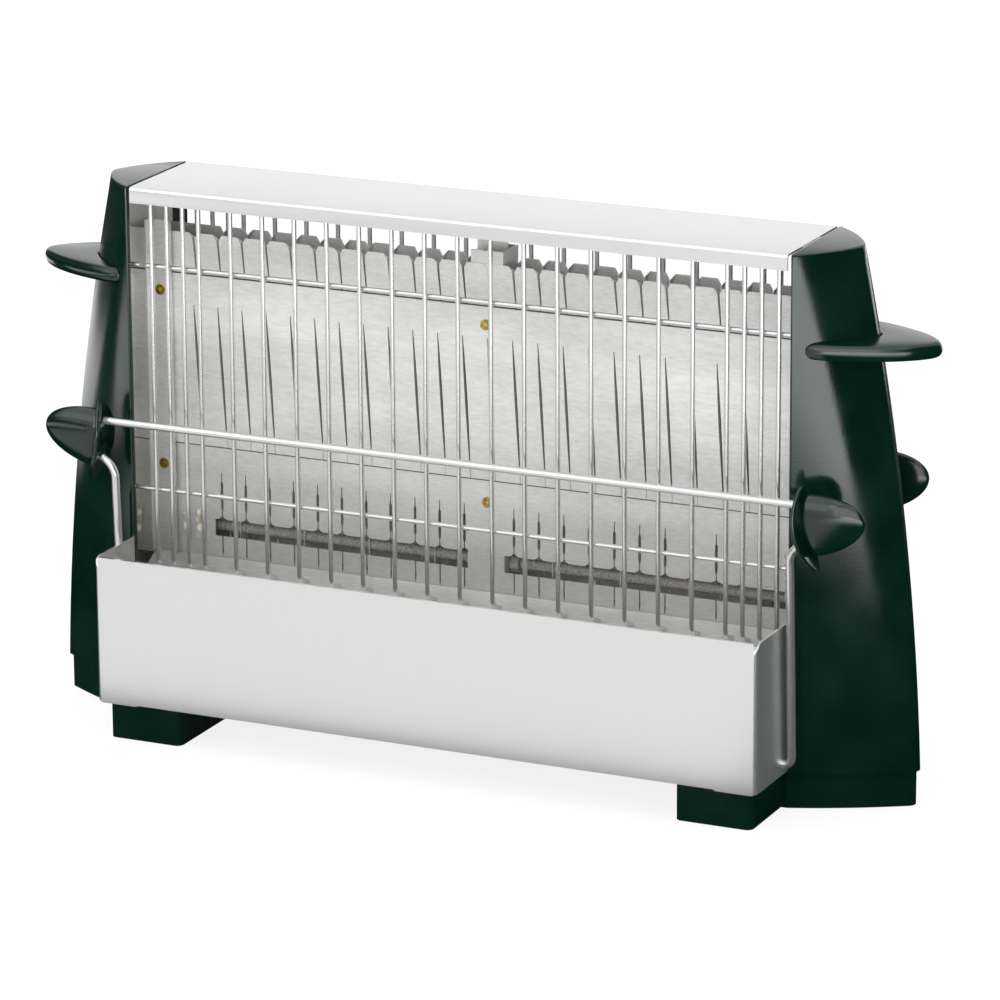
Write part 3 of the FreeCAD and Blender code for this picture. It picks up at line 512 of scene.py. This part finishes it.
def handleSurface():
    # crescent: the inner line follows the cap, the outer line is |x|^p + |y|^p = 1, and the section
    # between them is a rounded bar, which narrows to its ends as the root of a sine and thins as a circle
    middle = handle["low"] + handle["thick"] / 2
    inner = capOutline(np.array([middle]), -handle["gap"], handle["side"], handle["nose"])[0]
    inner = inner[inner[:, 0] >= cap["innerX"] + handle["start"]]
    lengths = np.concatenate([[0], np.cumsum(np.linalg.norm(np.diff(inner, axis=0), axis=1))])
    count = 2 * handle["steps"] + 1
    share = (1 - np.cos(np.pi * np.linspace(0, 1, count))) / 2
    line = np.stack([np.interp(share * lengths[-1], lengths, inner[:, k]) for k in range(2)], 1)
    turn = np.pi * (share - 0.5)
    first = (handle["start"] + handle["outset"]) / handle["span"]
    x = first + (1 - first) * np.cos(turn)
    y = np.sign(turn) * np.maximum(0, 1 - x ** handle["power"]) ** (1 / handle["power"])
    outerX = cap["innerX"] - handle["outset"] + handle["span"] * x
    across = np.stack([outerX, handle["halfDepth"] * y], 1) - line
    width = np.linalg.norm(across, axis=1)
    across = unit(across)
    nearEnd = np.minimum(share, 1 - share)
    width = width * np.sin(np.minimum(1, nearEnd * handle["blunt"]) * np.pi / 2) ** 0.5
    width = np.maximum(width, handle["least"])
    radius = np.minimum(handle["round"], width * handle["roundShare"])
    lift = handle["thick"] / 2
    low = [(0 * width, -lift + 0 * width)]
    for angle in np.linspace(-np.pi / 2, 0, handle["roundSteps"]):
        low.append((width - radius + radius * np.cos(angle), -lift + radius * (1 + np.sin(angle))))
    section = low + [(out, -up) for out, up in reversed(low)]
    fromEnd = np.clip(nearEnd * lengths[-1] / lift, 0, 1)
    tall = np.maximum(np.sqrt(1 - (1 - fromEnd) ** 2), handle["least"])
    bars = []
    for out, up in section:
        bars.append(np.column_stack([line + across * out[:, None], middle + up * tall]))
    points = np.stack(bars, 1).reshape(-1, 3)
    sides = len(section)
    faces = gridFaces(count, sides)
    faces.append(list(range(sides - 1, -1, -1)))
    faces.append(list(range(len(points) - sides, len(points))))
    return points, faces


for name, (points, faces) in bothEnds(*handleSurface()):
    label = name + "CarryHandle"
    piece = outward(meshPiece(label, points, faces, greenPhenolic, "body", "green_moulding", angle=50))
    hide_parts(name + "_carry_handle")
print("handles made")


# wire grills

grill = {
    "radius": 1.03, "pitch": 15.07, "wide": 17, "close": 3, "shift": 2.0, "y": 24.45, "top": 233.6,
    "bend": 70.2, "footRound": 3.4, "footSteps": 6, "tailY": 17.05, "tailZ": 67.19,
    "cross": (200.2, 101.9), "weld": 0.2, "intoCap": 1.2, "stubGap": 3.2, "sides": 14,
}


def grillPlaces():
    # wide spaces in the middle and half as wide ones beside the caps
    half = (grill["wide"] - 1) / 2
    wide = grill["shift"] + (np.arange(grill["wide"]) - half) * grill["pitch"]
    ends = (half + (np.arange(grill["close"]) + 1) / 2) * grill["pitch"]
    return np.sort(np.concatenate([wide, grill["shift"] - ends, grill["shift"] + ends]))


def grillSurface():
    # every wire is a circle carried along its line; the upright ones have a round bend and a short tail
    def wire(path, across):
        return tubeParts(path, grill["radius"], grill["sides"], across)

    parts = []
    places = grillPlaces()
    sideView = [(-grill["y"], grill["top"]), (-grill["y"], grill["bend"]), (-grill["tailY"], grill["tailZ"])]
    for x in places:
        path = roundedPath([(x, *corner) for corner in sideView], [grill["footRound"]], grill["footSteps"])
        parts.append(wire(path, (1, 0, 0)))
    crossY = -grill["y"] + 2 * grill["radius"] - grill["weld"]
    end = cap["innerX"] + grill["intoCap"]
    high, low = grill["cross"]
    runs = [
        (places[0] - grill["stubGap"], end, high),
        (-end, end, low),
        (-end, -cap["innerX"] + grill["stubGap"], high),
    ]
    for x0, x1, height in runs:
        parts.append(wire([(x0, crossY, height), (x1, crossY, height)], (0, 0, 1)))
    return gathered(parts)


for name, (points, faces) in bothSides(*grillSurface()):
    piece = outward(meshPiece(name + "WireGrill", points, faces, brightWire, "body", "plated_wire", angle=50))
    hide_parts(name + "_grill")
print("grills made")


# holding bails

joints = {joint["name"]: joint for joint in frame["record"]["behaviour"]["joints"]}
pivot = joints["front_bail_pivot"]["pos_m"]
bail = {
    "pivotY": -pivot[1] / mm, "pivotZ": pivot[2] / mm,
    "rodZ": 134.0, "rodY": 36.75, "rodRadius": 1.7, "rodSides": 24,
    "legRadius": 1.8, "legX": 155.2, "legSides": 20, "seatDrop": 8.0, "kneeDrop": 3.6, "insideX": 149.2,
    "bends": (9.0, 3.1), "bendSteps": 8, "knobOut": 8.7, "knobZ": 125.1, "lean": 10.0, "sunk": 0.5,
}
knob = {
    "plateHigh": 18.0, "plateDeep": 8.4, "plateThick": 1.8, "plateDrop": 1.2, "dish": 4.2, "rimSteps": 9,
    "wingLong": 28.5, "wingHigh": 13.4, "wingDeep": 4.7, "wingSteps": 29, "crowding": 1.3,
    "waist": 0.35, "waistLong": 3.2, "around": 48,
}
bailSlope = (bail["rodY"] - bail["pivotY"]) / (bail["rodZ"] - bail["pivotZ"])


def bailPoint(x, height):
    # a point of the leaning plane through pivot and rod
    return np.array([x, -bail["pivotY"] - (height - bail["pivotZ"]) * bailSlope, height])


def plateFace(drop):
    # middle of the right knob plate's inner face, dished outwards, at a drop below the knob's centre
    lean = math.radians(bail["lean"])
    half = knob["plateThick"] / 2 - knob["dish"] * ((drop - knob["plateDrop"]) / knob["plateHigh"]) ** 2
    out = bail["knobOut"] + drop * math.sin(lean) - half * math.cos(lean)
    return bailPoint(cap["innerX"] + out, bail["knobZ"] - drop * math.cos(lean) - half * math.sin(lean))


def rodSurface():
    # circle carried from knob plate to knob plate
    end = plateFace(bail["knobZ"] - bail["rodZ"])[0] + bail["sunk"]
    ends = [bailPoint(-end, bail["rodZ"]), bailPoint(end, bail["rodZ"])]
    return tubeParts(ends, bail["rodRadius"], bail["rodSides"], (0, 0, 1))


def legSurface():
    # circle carried from inside the knob plate round the knee, down and in through the end wall
    aside = (0, 1, 0.05)   # a direction that no run of the leg follows
    seat = plateFace(bail["seatDrop"])
    knee = bailPoint(bail["legX"], seat[2] - bail["kneeDrop"])
    top = seat - unit(knee - seat) * bail["sunk"]
    foot = bailPoint(bail["legX"], bail["pivotZ"])
    corners = [top, knee, foot, (bail["insideX"], -bail["pivotY"], bail["pivotZ"])]
    path = roundedPath(corners, bail["bends"], bail["bendSteps"])
    return tubeParts(path, bail["legRadius"], bail["legSides"], aside)


def knobSurface():
    # plate: an ellipse with a rounded rim, dished as the square of the height
    rim = np.linspace(-np.pi / 2, np.pi / 2, knob["rimSteps"])
    half = knob["plateThick"] / 2
    inset = half * (1 - np.cos(rim))
    plateDeep, plateHigh = knob["plateDeep"] - inset, knob["plateHigh"] - inset
    plate, plateFaces = rings(half * np.sin(rim), plateDeep, plateHigh, knob["around"])
    plate[:, 0] += knob["dish"] * (plate[:, 2] / knob["plateHigh"]) ** 2
    plate[:, 2] -= knob["plateDrop"]
    # wing: half an ellipsoid, its root narrowed by a bell curve
    out = np.linspace(0, 1, knob["wingSteps"] + 1)[:-1] ** knob["crowding"] * np.pi / 2
    wingX = knob["wingLong"] * np.sin(out)
    full = np.cos(out) * (1 - knob["waist"] * np.exp(-(wingX / knob["waistLong"]) ** 2))
    wing = rings(wingX, knob["wingDeep"] * full, knob["wingHigh"] * full, knob["around"])
    points, faces = gathered([(plate, plateFaces), wing])
    a, b = math.radians(-bail["lean"]), math.atan(bailSlope)
    turnY = np.array([[math.cos(a), 0, math.sin(a)], [0, 1, 0], [-math.sin(a), 0, math.cos(a)]])
    turnX = np.array([[1, 0, 0], [0, math.cos(b), -math.sin(b)], [0, math.sin(b), math.cos(b)]])
    centre = bailPoint(cap["innerX"] + bail["knobOut"], bail["knobZ"])
    return points @ turnY.T @ turnX.T + centre, faces


bailParts = {
    "HoldingRod": (rodSurface(), brightWire, "plated_wire", "holding_rod"),
    "RightLeg": (legSurface(), brightWire, "plated_wire", "right_leg"),
    "LeftLeg": (mirrored(*legSurface()), brightWire, "plated_wire", "left_leg"),
    "RightKnob": (knobSurface(), greenPhenolic, "green_moulding", "right_knob"),
    "LeftKnob": (mirrored(*knobSurface()), greenPhenolic, "green_moulding", "left_knob"),
}
for label, (surface, material, slotName, nodeName) in bailParts.items():
    for side, (points, faces) in bothSides(*surface):
        piece = outward(meshPiece(side + label, points, faces, material, side + "_bail", slotName, angle=45))
        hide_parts(side + "_" + nodeName)
print("bails made")


# reflector sheets

sheets = {
    "from": 8.0, "thick": 0.5, "endX": 160.4, "pitch": 11.5, "first": 130.0, "count": 23, "flange": 3.4,
    "windows": ((-122.0, -2.0), (15.0, 144.0)),
}
slitX = -sheets["first"] + sheets["pitch"] * np.arange(sheets["count"])


def plainSheet(x0, x1, y, z0, z1):
    # flat sheet with its front face at y
    back = y + sheets["thick"]
    return strip([(y, z0), (y, z1), (back, z1), (back, z0)], x0, x1)


def fin(left, right, z, y, depth):
    # one fin between two slits: an L in plan, its right edge bent back by depth, carried along z
    t = sheets["thick"]
    front, back = y + 0 * z, y + t + 0 * z
    bent = y + np.maximum(depth, t)
    ys = np.stack([front, front, bent, bent, back, back], 1)
    xs = np.stack([left, right, right, right - t, right - t, left], 1)
    corners = ys.shape[1]
    points = np.stack([xs, ys, np.repeat(z[:, None], corners, 1)], 2).reshape(-1, 3)
    faces = gridFaces(len(z), corners)
    faces += [list(range(corners - 1, -1, -1)), list(range(len(points) - corners, len(points)))]
    return points, faces


def fins(z, width, slant, depth, y, places, start, stop):
    # the fins from start to stop, between slits at places whose width and slant follow the height
    parts = []
    for a, b in zip([None, *places], [*places, None]):
        left = start + 0 * z if a is None else a + slant + width / 2
        right = stop + 0 * z if b is None else b + slant - width / 2
        parts.append(fin(left, right, z, y, depth if b is not None else 0 * z))
    return parts


comb = {
    "low": 186.0, "root": 194.3, "chamfer": 210.2, "top": 212.5, "belowChamfer": 0.4, "belowTop": 0.3,
    "slit": 1.15, "rootShare": 0.5, "chamferWide": 1.5, "slant": 1.6, "flangeShare": 0.7,
}


def combSurface():
    # teeth with chamfered tops; each slit leans by slant from its top to its root and narrows evenly
    c, end, y = comb, sheets["endX"], -sheets["from"]
    tooth = [c["chamfer"] - c["belowChamfer"], c["chamfer"], c["top"] - c["belowTop"], c["top"]]
    z = np.array([c["root"]] + tooth)
    down = (c["top"] - z) / (c["top"] - c["root"])
    opened = np.clip((z - c["chamfer"]) / (c["top"] - c["chamfer"]), 0, 1)
    width = c["slit"] * (1 - c["rootShare"] * down) + 2 * c["chamferWide"] * opened
    depth = np.where(z > c["chamfer"], sheets["thick"], sheets["flange"] * c["flangeShare"])
    parts = fins(z, width, c["slant"] * down, depth, y, slitX, -end, end)
    return gathered(parts + [plainSheet(-end, end, y, c["low"], c["root"])])


louvre = {
    "low": 119.5, "slitTop": 181.0, "top": comb["root"], "rows": 22, "thin": 0.35, "wide": 1.3, "end": 0.4,
    "slant": 3.4, "highWidest": 0.8, "leaf": 1.2, "lap": 126.0, "crease": 182.3, "creaseHalf": 0.4,
    "ridge": 0.03,
}


def louvreSurface():
    # leaf shaped slits: an even taper from crease to foot, plus a power of the sine of the way down
    c, end, y = louvre, sheets["endX"], -sheets["from"] - sheets["thick"]
    z = np.linspace(c["low"], c["slitTop"], c["rows"])
    down = (c["slitTop"] - z) / (c["slitTop"] - c["low"])
    leaf = np.sin(np.pi * down ** c["highWidest"]) ** c["leaf"]
    width = c["thin"] + (c["end"] - c["thin"]) * down + (c["wide"] - c["end"]) * leaf
    depth = np.where(z > c["lap"], sheets["flange"], sheets["thick"])
    parts = fins(z, width, c["slant"] * down, depth, y, slitX, -end, end)
    back = y + sheets["thick"]
    fold = [
        (y, c["slitTop"]), (y, c["crease"] - c["creaseHalf"]), (y - c["ridge"], c["crease"]),
        (y, c["crease"] + c["creaseHalf"]), (y, c["top"]), (back, c["top"]), (back, c["slitTop"]),
    ]
    return gathered(parts + [strip(fold, -end, end)])


lower = {
    "low": 67.8, "windowLow": 79.5, "windowHigh": 87.0, "slitTop": 108.0, "top": 125.0, "wide": 1.25,
    "flare": 4.4, "flareIn": 1.8, "neck": 0.5, "tip": 0.4,
    "footRises": (0.0, 0.7, 1.6, 4.0, 4.8), "tipDrops": (5.0, 4.2, 0.0),
    "widths": ("flare", "flareIn", "neck", "neck", "wide", "wide", "neck", "tip"),
    "slot": 0.6, "slotLow": 71.0, "flangeShare": 0.8, "plainTop": 1.0,
}


def lowerSurface():
    # windows with short slits above them that flare at the foot, and thin slots below
    c, end, y = lower, sheets["endX"], -sheets["from"]
    footRows = [c["windowHigh"] + rise for rise in c["footRises"]]
    tipRows = [c["slitTop"] - drop for drop in c["tipDrops"]]
    z = np.array(footRows + tipRows)
    width = np.array([c[name] for name in c["widths"]])
    depth = np.where(z < c["slitTop"] - c["plainTop"], sheets["flange"] * c["flangeShare"], sheets["thick"])
    zLow = np.array([c["slotLow"], c["windowLow"]])
    widthLow, depthLow = c["slot"] + 0 * zLow, sheets["thick"] + 0 * zLow
    parts = [
        plainSheet(-end, end, y, c["slitTop"], c["top"]),
        plainSheet(-end, end, y, c["low"], c["slotLow"]),
    ]
    edges = [-end]
    for start, stop in sheets["windows"]:
        places = slitX[(slitX > start) & (slitX < stop)]
        parts += fins(z, width, 0 * z, depth, y, places, start, stop)
        parts += fins(zLow, widthLow, 0 * zLow, depthLow, y, places, start, stop)
        edges += [start, stop]
    edges.append(end)
    for x0, x1 in zip(edges[::2], edges[1::2]):
        parts.append(plainSheet(x0, x1, y, c["slotLow"], c["slitTop"]))
    return gathered(parts)


panels = {
    "CombSheet": (combSurface(), "comb_sheet"),
    "LouvreSheet": (louvreSurface(), "louvre_sheet"),
    "LowerSheet": (lowerSurface(), "lower_sheet"),
}
for label, (surface, nodeName) in panels.items():
    for side, (points, faces) in bothSides(*surface):
        name = side + label
        piece = outward(meshPiece(name, points, faces, reflector, "body", "galvanised_sheet", smooth=False))
        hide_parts(side + "_" + nodeName)
print("reflectors made")


# top cover

cover = {
    "halfX": 149.7, "halfDepth": cap["halfDepth"], "top": cap["top"], "lip": 6.8, "sheet": 0.8, "bend": 1.5,
    "steps": 8,
}


def coverSurface():
    # folded sheet: a flat top, a quarter circle at each long edge and a lip down, all one thickness
    turn = np.linspace(0, np.pi / 2, cover["steps"])
    centreY, centreZ = cover["halfDepth"] - cover["bend"], cover["top"] - cover["bend"]
    lines = []
    for thin in (0.0, cover["sheet"]):
        radius = cover["bend"] - thin
        arc = np.column_stack([-centreY - radius * np.cos(turn), centreZ + radius * np.sin(turn)])
        half = np.concatenate([[(-cover["halfDepth"] + thin, cover["top"] - cover["lip"])], arc])
        lines.append(np.concatenate([half, half[::-1] * [-1, 1]]))
    return strip(np.concatenate([lines[0], lines[1][::-1]]), -cover["halfX"], cover["halfX"])


piece = outward(meshPiece("foldedTopCover", *coverSurface(), brightSheet, "body", "plated_sheet", angle=35))
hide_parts("top_cover")
print("cover made")


# heating elements

rods = {
    "z": 82.0, "radius": 2.3, "rib": 0.35, "pitch": 2.4, "ringsPerRib": 6, "sides": 12,
    "spans": {"left": (-128.0, -4.4), "right": (19.4, 144.0)},
}


def elementSurface(x0, x1):
    # fired tube whose radius swells as the square root of a sine at each rib
    x = np.linspace(x0, x1, int((x1 - x0) / rods["pitch"] * rods["ringsPerRib"]))
    radius = rods["radius"] + rods["rib"] * np.abs(np.sin(np.pi * (x - x0) / rods["pitch"])) ** 0.5
    path = np.column_stack([x, 0 * x, rods["z"] + 0 * x])
    return tubeParts(path, radius, rods["sides"], (0, 0, 1))


for side, (x0, x1) in rods["spans"].items():
    points, faces = elementSurface(x0, x1)
    piece = outward(meshPiece(side + "RibbedElement", points, faces, clay, "body", "ceramic", angle=60))
    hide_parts(side + "_element")
print("elements made")


# floor, surround, lamps and camera; places in metres, and each pair is where a smooth step starts and stops

# levels and edges of the painted floor reflection that shiny pieces see
floorLook = {
    "half": 6.0, "below": 0.0002, "paint": "F4F4F3", "cameraLevel": 1.06, "cameraShare": 0.8, "glow": 0.85,
    "darkRightSlope": -1.19, "darkRightEdge": (0.13, 0.2), "nearX": (0.1, 0.16), "nearReach": (0.44, 0.66),
    "nearDark": 0.98, "underY": (0.1, 0.125), "underGlow": 0.03, "leftEdge": (-0.32, -0.24), "leftDark": 0.97,
    "patchLeft": (-1.02, -0.88), "patchRight": (-0.68, -0.55), "patchBack": (0.5, 0.75), "patchGlow": 0.8,
    "openY": (-0.16, -0.1), "openX": (-0.55, -0.45),
    "sightSlope": 0.45, "behindY": (0.08, 0.16), "behindAlong": (-0.1, 0.05), "behindReach": (2.0, 2.6),
    "behindDark": 0.97, "poolX": (-0.05, 0.15), "poolNear": (0.42, 0.62), "poolNearGlow": 0.6,
    "poolFar": (0.62, 0.85), "poolFarGlow": 2.2,
}


def paintedFloorReflection(tree):
    # painted reflection that shiny pieces see in the floor: an even glow with a painted bright pool at the
    # right and a painted bright patch at the left, painted shade under the toaster, and painted darkness
    # right, left and behind
    look = floorLook
    spot = addNode(tree, "ShaderNodeTexCoord").outputs["Object"]
    across = addNode(tree, "ShaderNodeSeparateXYZ", None, {"Vector": spot})
    x, y = across.outputs["X"], across.outputs["Y"]
    fromMiddle = maths(tree, "ABSOLUTE", y)
    reach = addNode(tree, "ShaderNodeVectorMath", {"operation": "LENGTH"}, {0: spot}).outputs["Value"]
    pastDarkRight = maths(tree, "MULTIPLY_ADD", fromMiddle, look["darkRightSlope"], x)
    rightOpen = band(tree, pastDarkRight, look["darkRightEdge"], 1.0, 0.0)
    nearX = band(tree, x, look["nearX"], 0.0, look["nearDark"])
    rightNear = without(tree, times(tree, nearX, band(tree, reach, look["nearReach"], 1.0, 0.0)))
    under = band(tree, fromMiddle, look["underY"], look["underGlow"], 1.0)
    patchLeft = band(tree, x, look["patchLeft"], 0.0, 1.0)
    patchRight = band(tree, x, look["patchRight"], 1.0, 0.0)
    patch = times(tree, patchLeft, patchRight, band(tree, y, look["patchBack"], 1.0, 0.0))
    leftFront = times(tree, band(tree, y, look["openY"], 1.0, 0.0), band(tree, x, look["openX"], 0.0, 1.0))
    darkLeft = without(tree, maths(tree, "MAXIMUM", patch, leftFront))
    leftOpen = without(tree, times(tree, band(tree, x, look["leftEdge"], look["leftDark"], 0.0), darkLeft))
    alongSight = maths(tree, "MULTIPLY_ADD", y, look["sightSlope"], x)
    behindY = band(tree, y, look["behindY"], 0.0, look["behindDark"])
    behindX = band(tree, alongSight, look["behindAlong"], 0.0, 1.0)
    behind = times(tree, behindY, behindX, band(tree, reach, look["behindReach"], 1.0, 0.0))
    poolNear = band(tree, reach, look["poolNear"], 0.0, look["poolNearGlow"])
    poolFar = band(tree, reach, look["poolFar"], 0.0, look["poolFarGlow"])
    pool = times(tree, maths(tree, "ADD", poolNear, poolFar), band(tree, x, look["poolX"], 0.0, 1.0))
    level = maths(tree, "ADD", maths(tree, "MULTIPLY_ADD", patch, look["patchGlow"], pool), look["glow"])
    return times(tree, level, under, rightOpen, rightNear, leftOpen, without(tree, behind))


def studioFloor():
    # pale floor that keeps a soft shadow
    half = floorLook["half"]
    floorMesh = bpy.data.meshes.new("studioFloor")
    corners = [(-half, -half, 0), (half, -half, 0), (half, half, 0), (-half, half, 0)]
    floorMesh.from_pydata(corners, [], [(0, 1, 2, 3)])
    floor = bpy.data.objects.new("studioFloor", floorMesh)
    bpy.context.scene.collection.objects.link(floor)
    floor.location.z = -floorLook["below"]
    material = bpy.data.materials.new("paleFloor")
    material.use_nodes = True
    tree = material.node_tree
    tree.nodes.clear()
    ray = addNode(tree, "ShaderNodeLightPath").outputs
    # the camera sees an even glow; shiny pieces see the painted floor reflection
    direct = times(tree, ray["Is Camera Ray"], floorLook["cameraLevel"])
    strength = maths(tree, "MAXIMUM", direct, paintedFloorReflection(tree))
    share = maths(tree, "MULTIPLY_ADD", ray["Is Camera Ray"], floorLook["cameraShare"], ray["Is Glossy Ray"])
    plain = addNode(tree, "ShaderNodeBsdfDiffuse", None, {"Color": hexColour(floorLook["paint"])})
    glow = addNode(tree, "ShaderNodeEmission", None, {"Color": grey(1.0), "Strength": strength})
    both = addNode(tree, "ShaderNodeMixShader", None, {0: share, 1: plain.outputs[0], 2: glow.outputs[0]})
    addNode(tree, "ShaderNodeOutputMaterial", None, {"Surface": both.outputs[0]})
    floorMesh.materials.append(material)


surroundLook = {
    "plain": 0.85, "rightX": (0.55, 0.75), "leftX": (-0.85, -0.65), "leftGlow": 0.1,
    "highZ": (0.33, 0.5), "highGlow": 0.5,
}


def studioSurround():
    # white to the camera; shiny pieces see it darker at the right, at the far left and high up
    look = surroundLook
    world = bpy.data.worlds.new("studioSurround")
    bpy.context.scene.world = world
    world.use_nodes = True
    tree = world.node_tree
    tree.nodes.clear()
    ray = addNode(tree, "ShaderNodeLightPath").outputs
    direction = addNode(tree, "ShaderNodeTexCoord").outputs["Generated"]
    way = addNode(tree, "ShaderNodeSeparateXYZ", None, {"Vector": direction}).outputs
    rightOpen = band(tree, way["X"], look["rightX"], 1.0, 0.0)
    leftOpen = band(tree, way["X"], look["leftX"], look["leftGlow"], 1.0)
    high = band(tree, way["Z"], look["highZ"], 1.0, look["highGlow"])
    clear = times(tree, rightOpen, leftOpen, high)
    glossy = {0: ray["Is Glossy Ray"], 2: look["plain"], 3: clear}
    shine = addNode(tree, "ShaderNodeMix", {"data_type": "FLOAT"}, glossy).outputs[0]
    direct = maths(tree, "MAXIMUM", ray["Is Camera Ray"], ray["Is Transmission Ray"])
    strength = maths(tree, "MAXIMUM", direct, shine)
    surround = addNode(tree, "ShaderNodeBackground", None, {"Color": grey(1.0), "Strength": strength})
    addNode(tree, "ShaderNodeOutputWorld", None, {"Surface": surround.outputs[0]})


lamps = {
    "softboxFrontLeft": {"place": (-1.1, -1.6, 1.5), "size": 2.6, "watts": 17},
    "softboxRight": {"place": (0.9, -1.5, 2.0), "size": 2.0, "watts": 9},
    "softboxFrontLow": {"place": (0.5, -1.9, 0.5), "size": 1.4, "watts": 8},
    "softboxTop": {"place": (0.0, 0.5, 2.2), "size": 3.4, "watts": 16},
}
lampAim = (0.0, 0.0, 0.1)


def hangLamps():
    # square soft boxes, all turned towards the middle of the toaster
    for name, lamp in lamps.items():
        light = bpy.data.lights.new(name, "AREA")
        light.shape = "SQUARE"
        light.size = lamp["size"]
        light.energy = lamp["watts"]
        lampObject = bpy.data.objects.new(name, light)
        bpy.context.scene.collection.objects.link(lampObject)
        lampObject.location = lamp["place"]
        aim = np.array(lampAim) - np.array(lamp["place"])
        lampObject.rotation_euler = Vector(aim).to_track_quat("-Z", "Y").to_euler()


view = {
    "yaw": 24.94, "elevation": 16.25, "roll": -0.32, "focalPixels": 5595.0, "distance": 2358.1,
    "right": 8.571, "up": -4.286, "targetZ": 112.01, "sensorMm": 36.0, "pixels": 1000, "clipEnd": 50,
}


def photoCamera():
    # seen from the right front: yaw and elevation turn the line of sight, roll turns the picture
    yaw, elevation, roll = (math.radians(view[key]) for key in ("yaw", "elevation", "roll"))
    flat = math.cos(elevation)
    sight = np.array([-math.sin(yaw) * flat, math.cos(yaw) * flat, -math.sin(elevation)])
    level = np.array([math.cos(yaw), math.sin(yaw), 0])
    upward = np.cross(level, sight)
    right = math.cos(roll) * level + math.sin(roll) * upward
    up = -math.sin(roll) * level + math.cos(roll) * upward
    target = np.array([0, 0, view["targetZ"]])
    place = target - sight * view["distance"] + right * view["right"] + up * view["up"]
    data = bpy.data.cameras.new("photoCamera")
    data.sensor_width = view["sensorMm"]
    data.lens = view["focalPixels"] * view["sensorMm"] / view["pixels"]
    data.clip_end = view["clipEnd"]
    camera = bpy.data.objects.new("photoCamera", data)
    bpy.context.scene.collection.objects.link(camera)
    rows = [[right[k], up[k], -sight[k], place[k] * mm] for k in range(3)] + [[0, 0, 0, 1]]
    camera.matrix_world = Matrix(rows)
    bpy.context.scene.camera = camera


studioFloor()
studioSurround()
hangLamps()
photoCamera()
bpy.context.scene.view_settings.view_transform = "Standard"
print("studio ready")
